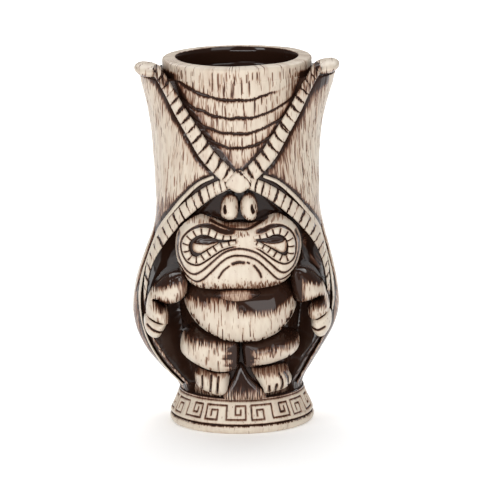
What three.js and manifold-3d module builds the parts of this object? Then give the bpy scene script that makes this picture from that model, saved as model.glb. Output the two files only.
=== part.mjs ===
// Glazed ceramic tiki mug: a tall cup wrapped in a bark cape, with a small carved figure
// standing in a niche at the front, on a flared base with a key-pattern band.
//
// Units are millimetres. +Z is up, the figure faces -Y and its right arm is on the -X side.
// The origin is on the resting plane, under the middle of the object's width and depth. Pieces
// are shaped about the cup's axis and moved back to it at the end, because the figure's belly
// reaches further forward than the cape reaches back.
//
// The clay is divided at the seams where a modeller would lute the pieces together. Every
// piece is a closed solid, and neighbours keep a small gap. Two kinds of piece make it up:
//   turned pieces, which are revolved about Z: cup, rim, base band and foot;
//   relief pieces, which are cut from the cape's thickness or stand on the cup's front.

import * as THREE from 'three';
import { mergeVertices } from 'three/addons/utils/BufferGeometryUtils.js';
import Module from 'manifold-3d';

const wasm = await Module();
wasm.setup();

// ---- driving dimensions -------------------------------------------------------------

const HEIGHT = 180;              // foot to the top of the lip
const RIM_RADIUS = 36.2;         // outside of the lip
const MOUTH_RADIUS = 29.5;       // inside of the lip
const CUP_RADIUS = 33.4;         // outside of the cup's wall
const WALL = 3.4;                // thickness of the cup's wall
const WAIST_RADIUS = 29.7;       // narrowest part, just above the base
const FOOT_RADIUS = 35.3;        // widest part of the foot
const BULGE_HALF_WIDTH = 50.2;   // half of the widest part of the cape, beside the belly
const BULGE_HALF_DEPTH = 42;     // half of the cape's depth at the same height
const EAR_REACH = 49.2;          // from the axis to the tip of an ear
const EDGE = 1.2;                // how far an ordinary edge is turned in
const BELLY_REACH = 50.6;        // from the cup's axis to the front of the belly
const GAP = 0.3;                 // clearance between neighbouring pieces
const NICHE_BACK = 14;           // the niche and its bands stay this far in front of the axis

// ---- heights, measured up from the foot ----------------------------------------------

const FOOT_TOP = 4.2;
const BAND_TOP = 15.8;
const BODY_BOTTOM = BAND_TOP + GAP;
const CUP_FLOOR = 22;
const BULGE_Z = 56;
const CAPE_TOP = 172;
const LIP_BOTTOM = CAPE_TOP + GAP;
const LIP_ROUNDING = 2.4;        // radius of the lip's outer edge
const RECESS_DEPTH = 2;          // hollow under the foot
const RECESS_RADIUS = 26;

const ROUND_SEGMENTS = 44;       // facets around a turned piece
const BALL_SEGMENTS = 16;        // facets around a rounded piece of the figure
const BALL_RINGS = 10;           // facets from its top to its bottom
const FAR = 80;                  // beyond the object in every sideways direction

// ---- solids --------------------------------------------------------------------------

function toSolid(geometry) {
  const bare = geometry.clone();
  bare.deleteAttribute('normal');
  bare.deleteAttribute('uv');
  const merged = mergeVertices(bare, 1e-4);
  return new wasm.Manifold(new wasm.Mesh({
    numProp: 3,
    vertProperties: new Float32Array(merged.attributes.position.array),
    triVerts: new Uint32Array(merged.index.array),
  }));
}

function toGeometry(solid) {
  const mesh = solid.getMesh();
  const geometry = new THREE.BufferGeometry();
  geometry.setAttribute('position', new THREE.BufferAttribute(mesh.vertProperties, 3));
  geometry.setIndex(new THREE.BufferAttribute(mesh.triVerts, 1));
  geometry.computeVertexNormals();
  return geometry;
}

// A profile is a list of [radius, height] pairs that starts and ends on the axis,
// or closes on itself.
function turned(profile) {
  const points = profile.map(([radius, height]) => new THREE.Vector2(radius, height));
  const geometry = new THREE.LatheGeometry(points, ROUND_SEGMENTS);
  geometry.rotateX(Math.PI / 2);
  const solid = toSolid(geometry);
  return solid.volume() > 0 ? solid : toSolid(flipped(geometry));
}

function flipped(geometry) {
  const copy = geometry.clone();
  const order = copy.index.array;
  for (let i = 0; i < order.length; i += 3) {
    [order[i], order[i + 1]] = [order[i + 1], order[i]];
  }
  return copy;
}

function ball([x, y, z], [rx, ry, rz], grow = 0) {
  const geometry = new THREE.SphereGeometry(1, BALL_SEGMENTS, BALL_RINGS);
  geometry.scale(rx + grow, ry + grow, rz + grow);
  geometry.translate(x, y, z);
  return toSolid(geometry);
}

// A round-ended limb from one point to another.
function limb(from, to, radius, grow = 0) {
  const start = new THREE.Vector3(...from);
  const run = new THREE.Vector3(...to).sub(start);
  const geometry = new THREE.CapsuleGeometry(radius + grow, run.length(), 4, 12);
  const turn = new THREE.Quaternion().setFromUnitVectors(
    new THREE.Vector3(0, 1, 0), run.clone().normalize());
  geometry.applyQuaternion(turn);
  geometry.translate(...start.addScaledVector(run, 0.5).toArray());
  return toSolid(geometry);
}

// ---- outlines in the front view (x across, z up) --------------------------------------

function smoothLine(points, steps) {
  const curve = new THREE.SplineCurve(points.map(([x, z]) => new THREE.Vector2(x, z)));
  return curve.getPoints(steps);
}

// A ribbon along a centre line of [x, z, half width] points.
function ribbon(stations, grow = 0) {
  const steps = stations.length * 2;
  const centre = smoothLine(stations, steps);
  const widths = smoothLine(stations.map(([, , half], i) => [i, half]), steps);
  const sides = [1, -1].map((side) => centre.map((point, i) => {
    const ahead = centre[Math.min(i + 1, steps)];
    const behind = centre[Math.max(i - 1, 0)];
    const along = ahead.clone().sub(behind).normalize();
    const half = side * (widths[i].y + grow);
    return new THREE.Vector2(point.x - along.y * half, point.y + along.x * half);
  }));
  return [...sides[0], ...sides[1].reverse()];
}

function closedLine(points, steps) {
  const loop = points.map(([x, z]) => new THREE.Vector3(x, z, 0));
  const curve = new THREE.CatmullRomCurve3(loop, true, 'centripetal');
  return curve.getPoints(steps).slice(0, -1).map((p) => new THREE.Vector2(p.x, p.y));
}

function grownOutline(outline, grow) {
  const turn = Math.sign(THREE.ShapeUtils.area(outline));
  return outline.map((point, i) => {
    const ahead = outline[(i + 1) % outline.length];
    const behind = outline[(i + outline.length - 1) % outline.length];
    const along = ahead.clone().sub(behind).normalize();
    return new THREE.Vector2(point.x + along.y * grow * turn, point.y - along.x * grow * turn);
  });
}

// The outline pushed through the clay from `back` to `front`, both distances towards -Y.
function prism(outline, back, front) {
  const geometry = new THREE.ExtrudeGeometry(new THREE.Shape(outline), {
    depth: front - back,
    bevelEnabled: false,
  });
  geometry.rotateX(Math.PI / 2);
  geometry.translate(0, -back, 0);
  return toSolid(geometry);
}

// A cushion-like piece: an outline with a rounded front edge.
function cushion(points, back, front, rounding, grow = 0) {
  const outline = grownOutline(closedLine(points, points.length * 2), grow - rounding);
  const geometry = new THREE.ExtrudeGeometry(new THREE.Shape(outline), {
    depth: front - back + 2 * grow - 2 * rounding,
    bevelThickness: rounding,
    bevelSize: rounding,
    bevelSegments: 2,
  });
  geometry.rotateX(Math.PI / 2);
  geometry.translate(0, -(back - grow + rounding), 0);
  return toSolid(geometry);
}

const mirrored = (points, side) => points.map(([x, ...rest]) => [x * side, ...rest]);

// ---- the body's outer surface ----------------------------------------------------------

// Half width and half depth of the body at stations up its height.
const BODY_STATIONS = [
  [BODY_BOTTOM, WAIST_RADIUS, WAIST_RADIUS],
  [28, 36.6, 34],
  [40, 44.8, 38.6],
  [BULGE_Z, BULGE_HALF_WIDTH, BULGE_HALF_DEPTH],
  [75, 47.8, 41.4],
  [95, 41.9, 39.6],
  [115, 39.8, 38.6],
  [145, 41.2, 37.6],
  [160, 44.2, 36.8],
  [CAPE_TOP, 47.6, RIM_RADIUS],
];

function bodySolid(grow) {
  const widths = BODY_STATIONS.map(([z]) => new THREE.Vector2(1, z));
  const bottom = BODY_STATIONS[0][0];
  const profile = [new THREE.Vector2(0, bottom), ...widths, new THREE.Vector2(0, CAPE_TOP)];
  const geometry = new THREE.LatheGeometry(profile, ROUND_SEGMENTS);
  geometry.rotateX(Math.PI / 2);
  const place = geometry.attributes.position;
  for (let i = 0; i < place.count; i += 1) {
    const z = place.getZ(i);
    const station = BODY_STATIONS.find(([height]) => Math.abs(height - z) < 0.01);
    place.setXY(i, place.getX(i) * (station[1] + grow), place.getY(i) * (station[2] + grow));
  }
  const solid = toSolid(geometry);
  return solid.volume() > 0 ? solid : toSolid(flipped(geometry));
}

// ---- turned pieces -----------------------------------------------------------------------

const CUP_BOTTOM_RADIUS = WAIST_RADIUS - 3;
const CUP_PROFILE = [
  [CUP_BOTTOM_RADIUS, BODY_BOTTOM],
  [CUP_RADIUS - 2, 40],
  [CUP_RADIUS, 70],
  [CUP_RADIUS, CAPE_TOP],
];

function cupOutside(grow) {
  const side = CUP_PROFILE.map(([radius, z]) => [radius + grow, z]);
  return turned([[0, BODY_BOTTOM], ...side, [0, CAPE_TOP]]);
}

function cupWall() {
  const inside = CUP_PROFILE.slice(1).map(([radius, z]) => [radius - WALL, z]);
  const well = turned([
    [0, CUP_FLOOR], [CUP_BOTTOM_RADIUS - WALL, CUP_FLOOR], ...inside.slice(0, -1),
    [MOUTH_RADIUS, CAPE_TOP + 1], [0, CAPE_TOP + 1],
  ]);
  return cupOutside(0).subtract(well);
}

// A quarter turn of a rounded edge, with its middle at [radius, height].
function quarter([radius, height], size, from) {
  return [0, 1, 2, 3].map((step) => {
    const angle = from + (Math.PI / 2) * (step / 3);
    return [radius + size * Math.cos(angle), height + size * Math.sin(angle)];
  });
}

function rimLip() {
  const outer = quarter([RIM_RADIUS - LIP_ROUNDING, HEIGHT - LIP_ROUNDING], LIP_ROUNDING, 0);
  const inner = quarter([MOUTH_RADIUS + EDGE, HEIGHT - EDGE], EDGE, Math.PI / 2);
  return turned([[RIM_RADIUS, LIP_BOTTOM], ...outer, ...inner, [MOUTH_RADIUS, LIP_BOTTOM],
    [RIM_RADIUS, LIP_BOTTOM]]);
}

function keyBand() {
  const bottom = FOOT_TOP + GAP;
  const low = FOOT_RADIUS - EDGE / 2;
  const high = WAIST_RADIUS + EDGE;
  return turned([[0, bottom], [low - EDGE / 2, bottom], [low, bottom + EDGE],
    [high, BAND_TOP - EDGE], [high - EDGE, BAND_TOP], [0, BAND_TOP]]);
}

function footRing() {
  return turned([[0, RECESS_DEPTH], [RECESS_RADIUS - 1, RECESS_DEPTH], [RECESS_RADIUS, 0],
    [FOOT_RADIUS - 2 * EDGE, 0], [FOOT_RADIUS - EDGE / 3, EDGE], [FOOT_RADIUS, FOOT_TOP / 2],
    [FOOT_RADIUS - EDGE, FOOT_TOP], [0, FOOT_TOP]]);
}

// ---- outlines of the relief ----------------------------------------------------------------

// Each is for the side with x above zero: [x, z, half width] down the centre of the band.
const BROW_LINE = [
  [37.8, 173.5, 2.3], [28.4, 160, 2.9], [20.6, 147, 3.4], [12.6, 135, 3.7], [3.4, 126.4, 3.8],
];
const ARCH_LINE = [
  [5.6, 124, 3], [20.6, 114.4, 3.3], [31, 102.6, 3], [38.6, 90, 2.4], [43.2, 76, 1.9],
  [43.8, 60, 1.8], [39.5, 45, 2.2], [30.5, 31, 2.2], [24.5, 20, 2.2],
];
const RAIL_LINE = [
  [13.6, 126.2, 1.1], [24.4, 118, 1.1], [34.4, 105, 1.1], [42.2, 90.6, 1], [46.2, 76, 0.8],
  [46.4, 60, 0.8], [42.6, 43.6, 0.9], [34, 29, 1], [28.2, 20, 1],
];
const NICHE_BOTTOM = [[25.5, BODY_BOTTOM - 2], [-25.5, BODY_BOTTOM - 2]];

const HEAD_OUTLINE = [
  [0, 104], [8, 107.6], [18, 109.2], [26.4, 103.6], [30.2, 91], [26.6, 78.6], [18, 73.8],
  [0, 73.6],
];
const RING_OUTLINE = [
  [3, 98.6], [8.6, 102.2], [17, 104.4], [24.6, 101.4], [27.2, 92.4], [24, 85.2], [18, 86.8],
  [9.6, 94.2],
];
const EYE_OUTLINE = [
  [10.4, 97.9], [14.6, 99.2], [19, 99.4], [22.4, 97.4], [22.8, 93.6], [20.4, 91], [15.6, 92.9],
  [10.8, 95.9],
];
const CROSSING_OUTLINE = [[0, 131], [5, 128.4], [7.2, 124.4], [0, 119.6]];
const CLOTH_OUTLINE = [[0, 38], [4.4, 29], [8.4, 20.4], [7.4, 17], [0, 16.6]];

const RELIEF = 3;                // how far the bands stand out from the cape
const RAIL_RELIEF = 1.8;

function bandSolid(line, side, stand, grow) {
  const outline = ribbon(mirrored(line, side), grow);
  return prism(outline, NICHE_BACK - grow, FAR).intersect(bodySolid(stand + grow));
}

function symmetric(half) {
  const seam = half.filter(([x]) => x === 0).length;
  const inner = half.slice(1, half.length - (seam > 1 ? 1 : 0));
  return [...half, ...mirrored(inner.slice().reverse(), -1)];
}

// ---- pieces of the figure --------------------------------------------------------------------

// Rounded pieces: where the middle is ([across, forward, up] from the cup's axis) and half sizes.
const ROUNDED = {
  nose_lobe: { middle: [4.8, 40.5, 114], half: [5.3, 8.6, 6.1] },
  lip: { middle: [0, 41, 71.4], half: [12.6, 6.6, 2.9] },
  belly: { middle: [0, 33, 64.5], half: [26.8, BELLY_REACH - 33, 16.2] },
  thigh: { middle: [16.6, 32, 42], half: [12.4, 12, 9.2] },
  foot: { middle: [14.6, 26.6, 25.4], half: [9.4, 10.8, 7.8] },
  hand: { middle: [39, 25.6, 50.4], half: [6.8, 7.4, 6.2] },
  ear: { middle: [EAR_REACH - 7.6, 3, 173.8], half: [7.6, 10, 4.6] },
};

function rounded(name, side, grow) {
  const { middle: [across, forward, up], half } = ROUNDED[name];
  return ball([across * side, -forward, up], half, grow);
}

// An arm runs from the shoulder to the elbow and back in to the wrist.
const SHOULDER = [31, 30, 72];
const ELBOW = [40.6, 25, 65];
const WRIST = [40, 25.4, 56];
const ARM_RADIUS = 5.3;

function arm(side, grow) {
  const [shoulder, elbow, wrist] = [SHOULDER, ELBOW, WRIST].map(
    ([across, forward, up]) => [across * side, -forward, up]);
  return limb(shoulder, elbow, ARM_RADIUS, grow).add(limb(elbow, wrist, ARM_RADIUS, grow));
}

// How far forward each flat-backed piece starts and ends, from the cup's axis.
const CROSSING_SPAN = [30, 43.6];
const EYE_SPAN = [43.6, 47.8];
const RING_SPAN = [43, 49];
const HEAD_SPAN = [26, 47.6];
const CLOTH_SPAN = [24, 33];

// How round the front edge of each one is.
const CROSSING_EDGE = 1.4;
const EYE_EDGE = 0.5;
const RING_EDGE = 0.8;
const HEAD_EDGE = 6;
const CLOTH_EDGE = 1;

const FIGURE = {
  nose: (grow) => rounded('nose_lobe', -1, grow).add(rounded('nose_lobe', 1, grow)),
  crossing_block: (grow) => cushion(
    symmetric(CROSSING_OUTLINE), ...CROSSING_SPAN, CROSSING_EDGE, grow),
  lip: (grow) => rounded('lip', 1, grow),
};

// A ring is open at the front, so that the eye shows through it.
function eyeRing(side, grow) {
  const outline = mirrored(EYE_OUTLINE, side);
  const opening = grownOutline(closedLine(outline, outline.length * 2), GAP - grow);
  return cushion(mirrored(RING_OUTLINE, side), ...RING_SPAN, RING_EDGE, grow)
    .subtract(prism(opening, 0, FAR));
}

for (const [name, side] of [['right', -1], ['left', 1]]) {
  FIGURE[`eye_${name}`] = (grow) => cushion(
    mirrored(EYE_OUTLINE, side), ...EYE_SPAN, EYE_EDGE, grow);
  FIGURE[`eye_ring_${name}`] = (grow) => eyeRing(side, grow);
}

FIGURE.head = (grow) => cushion(symmetric(HEAD_OUTLINE), ...HEAD_SPAN, HEAD_EDGE, grow);
FIGURE.belly = (grow) => rounded('belly', 1, grow);

for (const [name, side] of [['right', -1], ['left', 1]]) {
  FIGURE[`thigh_${name}`] = (grow) => rounded('thigh', side, grow);
  FIGURE[`foot_${name}`] = (grow) => rounded('foot', side, grow);
  FIGURE[`hand_${name}`] = (grow) => rounded('hand', side, grow);
  FIGURE[`arm_${name}`] = (grow) => arm(side, grow);
}

FIGURE.loincloth = (grow) => cushion(
  symmetric(CLOTH_OUTLINE), ...CLOTH_SPAN, CLOTH_EDGE, grow);

// ---- the bark round the figure -----------------------------------------------------------------

const BARK = {};
for (const [name, side] of [['right', -1], ['left', 1]]) {
  BARK[`ear_${name}`] = (grow) => rounded('ear', side, grow)
    .subtract(turned([[0, BULGE_Z], [RIM_RADIUS + GAP - grow, BULGE_Z],
      [RIM_RADIUS + GAP - grow, HEIGHT], [0, HEIGHT]]));
  BARK[`brow_band_${name}`] = (grow) => bandSolid(BROW_LINE, side, RELIEF, grow);
  BARK[`arch_band_${name}`] = (grow) => bandSolid(ARCH_LINE, side, RELIEF, grow);
  BARK[`arch_rail_${name}`] = (grow) => bandSolid(RAIL_LINE, side, RAIL_RELIEF, grow);
}

// Heights of the forehead's lowest point and of the niche's highest.
const FOREHEAD_BOTTOM = 124;
const NICHE_TOP = 127;

// The part of the front view between the brow bands, which the forehead fills.
function foreheadRegion() {
  const right = smoothLine(BROW_LINE, 8);
  const left = right.map((p) => new THREE.Vector2(-p.x, p.y)).reverse();
  return [...right, new THREE.Vector2(0, FOREHEAD_BOTTOM), ...left];
}

// The part of the front view under the arch, where the cup's own wall shows.
function nicheRegion() {
  const right = smoothLine(ARCH_LINE, 16);
  const left = right.map((p) => new THREE.Vector2(-p.x, p.y)).reverse();
  const foot = NICHE_BOTTOM.map(([x, z]) => new THREE.Vector2(x, z));
  return [new THREE.Vector2(0, NICHE_TOP), ...right, ...foot, ...left];
}

function forehead() {
  const front = turned([[0, BODY_BOTTOM], [RIM_RADIUS, BODY_BOTTOM], [RIM_RADIUS, CAPE_TOP],
    [0, CAPE_TOP]]);
  return prism(foreheadRegion(), 0, FAR).intersect(front).subtract(cupOutside(GAP));
}

function barkCape() {
  return bodySolid(0)
    .subtract(cupOutside(GAP))
    .subtract(prism(grownOutline(foreheadRegion(), GAP), 0, FAR))
    .subtract(prism(nicheRegion(), NICHE_BACK, FAR));
}

// ---- colours ------------------------------------------------------------------------------------

const cream = { color: 0xd9cbb8, roughness: 0.3, metalness: 0 };
const brown = { color: 0x6b4733, roughness: 0.25, metalness: 0 };
const dark = { color: 0x2b1a14, roughness: 0.12, metalness: 0 };

function finishOf(name) {
  if (name === 'cup_wall') {
    return dark;
  }
  return ['nose', 'lip', 'loincloth'].includes(name) || name.startsWith('eye') ? brown : cream;
}

// ---- assembly -------------------------------------------------------------------------------------

const group = new THREE.Group();

function addPiece(name, solid) {
  const mesh = new THREE.Mesh(toGeometry(solid), new THREE.MeshStandardMaterial(finishOf(name)));
  mesh.name = name;
  group.add(mesh);
}

// The largest body of a cut piece: slivers that a neighbour leaves behind are dropped.
function mainBody(solid) {
  return solid.decompose().reduce((best, next) => (next.volume() > best.volume() ? next : best));
}

group.position.y = (BELLY_REACH - BULGE_HALF_DEPTH) / 2;

addPiece('cup_wall', cupWall());
addPiece('rim_lip', rimLip());
addPiece('key_band', keyBand());
addPiece('foot_ring', footRing());

// Pieces nearer the viewer come first, and each one makes room for itself in those behind it.
let taken = cupOutside(GAP);
const layers = [...Object.entries(FIGURE), ...Object.entries(BARK)];
for (const [name, shape] of layers) {
  addPiece(name, mainBody(shape(0).subtract(taken)));
  taken = taken.add(shape(GAP));
}
addPiece('forehead_panel', mainBody(forehead().subtract(taken)));
addPiece('bark_cape', mainBody(barkCape().subtract(taken)));

export default group;
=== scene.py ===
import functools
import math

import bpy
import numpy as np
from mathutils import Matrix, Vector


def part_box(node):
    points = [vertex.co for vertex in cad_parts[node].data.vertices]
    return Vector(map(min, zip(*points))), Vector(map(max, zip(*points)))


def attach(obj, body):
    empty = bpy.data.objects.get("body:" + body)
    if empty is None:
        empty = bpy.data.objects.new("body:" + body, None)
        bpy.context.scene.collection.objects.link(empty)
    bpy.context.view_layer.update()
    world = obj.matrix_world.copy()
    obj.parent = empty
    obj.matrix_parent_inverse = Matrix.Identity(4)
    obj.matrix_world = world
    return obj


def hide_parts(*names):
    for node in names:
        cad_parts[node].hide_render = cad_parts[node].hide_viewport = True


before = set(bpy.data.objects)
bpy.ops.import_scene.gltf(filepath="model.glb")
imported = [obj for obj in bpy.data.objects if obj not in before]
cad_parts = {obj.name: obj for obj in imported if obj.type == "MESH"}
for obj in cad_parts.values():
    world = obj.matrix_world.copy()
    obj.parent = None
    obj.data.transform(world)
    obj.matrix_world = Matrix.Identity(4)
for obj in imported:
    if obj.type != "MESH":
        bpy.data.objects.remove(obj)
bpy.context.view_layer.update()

# Looks of the glazed tiki mug. Shapes are worked out in millimetres about the cup's axis:
# x across, z up, and `depth` towards the viewer, which is -Y. The relief on the front is a set
# of depth maps over (x, z), one for each clay element, made into closed meshes. Turned pieces
# are maps over (angle, height). Dark glaze settles in what is low, and the rest is dry-brushed,
# so each mesh carries three attributes: `ink`, 1 where dark glaze covers the clay, `brush`, the
# share of the clay that brown strokes cover, and `paint_at`, where the strokes are read.

import openvdb
from mathutils import Matrix, Vector

# ---- the frame -------------------------------------------------------------------------------

MM = 0.001

lip_low, lip_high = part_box("rim_lip")
AXIS = Vector(((lip_low.x + lip_high.x) / 2, (lip_low.y + lip_high.y) / 2, 0))


def half_bottom_top(node):
    """Half width, lowest and highest point of a CAD node, in millimetres."""
    low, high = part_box(node)
    return (high.x - low.x) / 2 / MM, low.z / MM, high.z / MM


RIM, _, HEIGHT = half_bottom_top("rim_lip")
CUP, _, _ = half_bottom_top("cup_wall")
_, CAPE_BOTTOM, CAPE_TOP = half_bottom_top("bark_cape")
FOOT, _, FOOT_TOP = half_bottom_top("foot_ring")
BELLY_FRONT = (AXIS.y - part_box("belly")[0].y) / MM
MOUTH = 29.1                     # inner radius of the cup at the mouth
NICHE_BACK = 14.0                # the niche is never shallower than this, from the axis
CYLINDER = 42.0                  # radius of the plain cylinder that strokes are read on
SIDES = {"right": -1, "left": 1}            # the figure's own right is at -x
FAR = 1e3
NOWHERE = -FAR
ASIDE_LIMIT = 40                 # distances beside the bands are not followed further
IN_FRONT = 30                    # on the back of the cape they are larger than this

# ---- numbers on a grid -----------------------------------------------------------------------


def ease(low, high, value):
    """0 at `low` and 1 at `high`, smooth between them and flat beyond; `low` may be the larger."""
    t = np.clip((value - low) / (high - low), 0, 1)
    return t * t * (3 - 2 * t)


def bell(value, width, power=2):
    """1 where `value` is 0, falling off over `width`, with a flatter top for a higher power."""
    return np.exp(-((np.abs(value) / width) ** power))


def most(*values):
    """The largest of several numbers or grids, point by point."""
    return functools.reduce(np.maximum, values)


def table(height, rows, column):
    """A smooth curve through one column of a table whose first column is the height."""
    rows = np.asarray(rows, float)
    at, value = rows[:, 0], rows[:, column]
    slope = np.gradient(value, at)
    height = np.clip(height, at[0], at[-1])
    i = np.clip(np.searchsorted(at, height) - 1, 0, len(at) - 2)
    gap = at[i + 1] - at[i]
    t = (height - at[i]) / gap
    return ((1 + 2 * t) * (1 - t) ** 2 * value[i] + t * (1 - t) ** 2 * gap * slope[i]
            + t * t * (3 - 2 * t) * value[i + 1] + t * t * (t - 1) * gap * slope[i + 1])


def scatter(a, b, seed=0):
    """A fixed random number between -1 and 1 for each pair of whole numbers."""
    a, b = np.asarray(a).astype(np.int64), np.asarray(b).astype(np.int64)
    n = (a * 374761393 + b * 668265263 + seed * 974634777) & 0xFFFFFFFF
    n = ((n ^ (n >> 13)) * 1274126177) & 0xFFFFFFFF
    return ((n ^ (n >> 16)) & 0xFFFF) / 32767.5 - 1


def noise(u, v, seed=0):
    """Smooth noise between -1 and 1 on a lattice one unit apart."""
    iu, iv = np.floor(u), np.floor(v)
    fu, fv = u - iu, v - iv
    fu, fv = fu * fu * (3 - 2 * fu), fv * fv * (3 - 2 * fv)
    low = scatter(iu, iv, seed) * (1 - fu) + scatter(iu + 1, iv, seed) * fu
    high = scatter(iu, iv + 1, seed) * (1 - fu) + scatter(iu + 1, iv + 1, seed) * fu
    return low * (1 - fv) + high * fv


def grain(across, up, seed=0):
    """Bark grain: long ridges and short cuts that run up and down, between -1 and 1."""
    drift = 0.9 * noise(across / 9, up / 14, seed + 1)
    wide = noise((across + drift) / 2.4, up / 17, seed + 2)
    fine = noise((across + drift) / 1.1, up / 8, seed + 3)
    return 0.6 * wide + 0.4 * fine


def dashes(across, up, seed, pitch=3.4, run=8.0, share=0.6, width=0.3):
    """Lens-shaped knife cuts that run up and down, up to 1 in the middle of each."""
    across = across + 0.8 * noise(across / 9, up / 9, seed)
    column, row = np.floor(across / pitch), np.floor(up / run)
    best = np.zeros(np.broadcast(across, up).shape)
    for i in (-1, 0, 1):
        for j in (-1, 0, 1):
            a, b = column + i, row + j
            middle = (a + 0.5 + 0.4 * scatter(a, b, seed + 1)) * pitch
            level = (b + 0.5 + 0.45 * scatter(a, b, seed + 2)) * run
            half = run * (0.42 + 0.22 * scatter(a, b, seed + 3))
            wide = width * (1 + 0.5 * scatter(a, b, seed + 4))
            lean = 0.05 * scatter(a, b, seed + 5)
            end = np.clip(1 - ((up - level) / half) ** 2, 0, 1)
            gap = np.abs(across - middle - lean * (up - level)) / (wide * np.sqrt(end) + 0.05)
            kept = scatter(a, b, seed + 6) < 2 * share - 1
            strength = 0.75 + 0.25 * scatter(a, b, seed + 7)
            best = most(best, ease(1.7, 0.5, gap) * (end > 0) * kept * strength)
    return best


# ---- the front view --------------------------------------------------------------------------

STEP = 0.35
GRID_X = np.arange(-56, 56, STEP)
GRID_Z = np.arange(10, HEIGHT + 4, STEP)
X, Z = np.meshgrid(GRID_X, GRID_Z, indexing="ij")
ASIDE = np.abs(X)


def curve(points, closed=False, per=7):
    """Points along a smooth line through the given ones."""
    p = np.asarray(points, float)
    if closed:
        p = np.vstack([p[-1:], p, p[:2]])
    else:
        p = np.vstack([2 * p[0] - p[1], p, 2 * p[-1] - p[-2]])
    t = np.linspace(0, 1, per, endpoint=False)[:, None]
    parts = [0.5 * (2 * b + (c - a) * t + (2 * a - 5 * b + 4 * c - d) * t ** 2
                    + (3 * b - a - 3 * c + d) * t ** 3)
             for a, b, c, d in zip(p, p[1:], p[2:], p[3:])]
    line = np.vstack(parts)
    return np.vstack([line, line[:1]]) if closed else np.vstack([line, p[-2:-1]])


def window(line, margin):
    """The part of the grid near a line."""
    low = np.searchsorted(GRID_X, line[:, 0].min() - margin)
    high = np.searchsorted(GRID_X, line[:, 0].max() + margin)
    bottom = np.searchsorted(GRID_Z, line[:, 1].min() - margin)
    top = np.searchsorted(GRID_Z, line[:, 1].max() + margin)
    return slice(low, high), slice(bottom, top)


def to_segment(x, z, a, b):
    """Distance to the line from a to b, length along it, offset across it, and its size."""
    run = (b[0] - a[0], b[1] - a[1])
    size = float(np.hypot(*run))
    t = np.clip(((x - a[0]) * run[0] + (z - a[1]) * run[1]) / size ** 2, 0, 1)
    dx, dz = x - a[0] - t * run[0], z - a[1] - t * run[1]
    return np.hypot(dx, dz), t * size, (run[0] * dz - run[1] * dx) / size, size


def follow(line, margin=6.0):
    """Distance to a line, length along it and signed offset across it, over the grid."""
    at = window(line, margin)
    near = np.full(X[at].shape, FAR)
    length = np.zeros(near.shape)
    offset = np.full(near.shape, FAR)
    start = 0.0
    for a, b in zip(line, line[1:]):
        if np.hypot(*(b - a)) < 1e-6:
            continue
        gap, along, across, size = to_segment(X[at], Z[at], a, b)
        closer = gap < near
        near = np.where(closer, gap, near)
        length = np.where(closer, start + along, length)
        offset = np.where(closer, across, offset)
        start += size
    full = [np.full(X.shape, FAR), np.zeros(X.shape), np.full(X.shape, FAR)]
    for whole, part in zip(full, (near, length, offset)):
        whole[at] = part
    return full[0], full[1], full[2], start


def outline(points, per=7):
    """Distance outside a smooth closed outline over the grid, negative inside."""
    line = curve(points, closed=True, per=per)
    away = follow(line, margin=8.0)[0]
    at = window(line, 8.0)
    x, z = X[at], Z[at]
    odd = np.zeros(x.shape, bool)
    for a, b in zip(line[:-1], line[1:]):
        if a[1] == b[1]:
            continue
        spans = (z >= min(a[1], b[1])) & (z < max(a[1], b[1]))
        cross = a[0] + (z - a[1]) / (b[1] - a[1]) * (b[0] - a[0])
        odd ^= spans & (x < cross)
    sign = np.ones(X.shape)
    sign[at] = np.where(odd, -1, 1)
    return away * sign


def edge(inside, radius, power=2.2):
    """0 on an outline, rising to 1 over `radius` as a rounded shoulder."""
    t = np.clip(-inside / radius, 0, 1)
    return (1 - (1 - t) ** power) ** (1 / power)


def groove(points, width, closed=False, per=7):
    """1 along a line, falling off over `width`."""
    line = curve(points, closed=closed, per=per)
    away = follow(line, margin=4 * width)[0]
    return bell(away, width)


def blur(values, radius):
    """Gaussian average over `radius` millimetres."""
    pad = int(math.ceil(3 * radius / STEP))
    wide = np.pad(values, pad, mode="edge")
    fx = np.fft.fftfreq(wide.shape[0], STEP)[:, None]
    fz = np.fft.rfftfreq(wide.shape[1], STEP)[None, :]
    keep = np.exp(-2 * (math.pi * radius) ** 2 * (fx ** 2 + fz ** 2))
    out = np.fft.irfft2(np.fft.rfft2(wide) * keep, wide.shape)
    return out[pad:-pad, pad:-pad]


def sample(values, x, z):
    """Reads a grid between its points."""
    u = np.clip((x - GRID_X[0]) / STEP, 0, len(GRID_X) - 1.001)
    v = np.clip((z - GRID_Z[0]) / STEP, 0, len(GRID_Z) - 1.001)
    i, j = u.astype(int), v.astype(int)
    fu, fv = u - i, v - j
    return ((values[i, j] * (1 - fu) + values[i + 1, j] * fu) * (1 - fv)
            + (values[i, j + 1] * (1 - fu) + values[i + 1, j + 1] * fu) * fv)


# ---- the body --------------------------------------------------------------------------------

# Height, half width on the figure's right (-x), half width on its left, half depth.
BODY = (
    (16, 29.4, 29.4, 29.4), (20, 31.6, 30, 31), (28, 39.3, 34.4, 35), (36, 45.8, 39.4, 37.6),
    (46, 50.7, 45.2, 40.6), (56, 52.4, 48, 42), (66, 51.5, 47.6, 42), (76, 49, 46, 41.4),
    (86, 45.4, 43.6, 40.4), (96, 41.8, 41.2, 39.6), (106, 40.2, 39.4, 39), (118, 40.4, 39.2, 38.4),
    (132, 41, 39.5, 38), (146, 42.1, 40.8, 37.4), (156, 43.6, 43, 37), (166, 46, 46, 36.6),
    (174, 47.6, 48, 36.2),
)


def half_width(x, z):
    return np.where(x < 0, table(z, BODY, 1), table(z, BODY, 2))


def body_depth(x, z):
    """How far the cape's surface stands in front of the axis, in the front view."""
    across = np.clip(np.abs(x) / half_width(x, z), 0, 1)
    return table(z, BODY, 3) * np.sqrt(1 - across ** 2)


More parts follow.
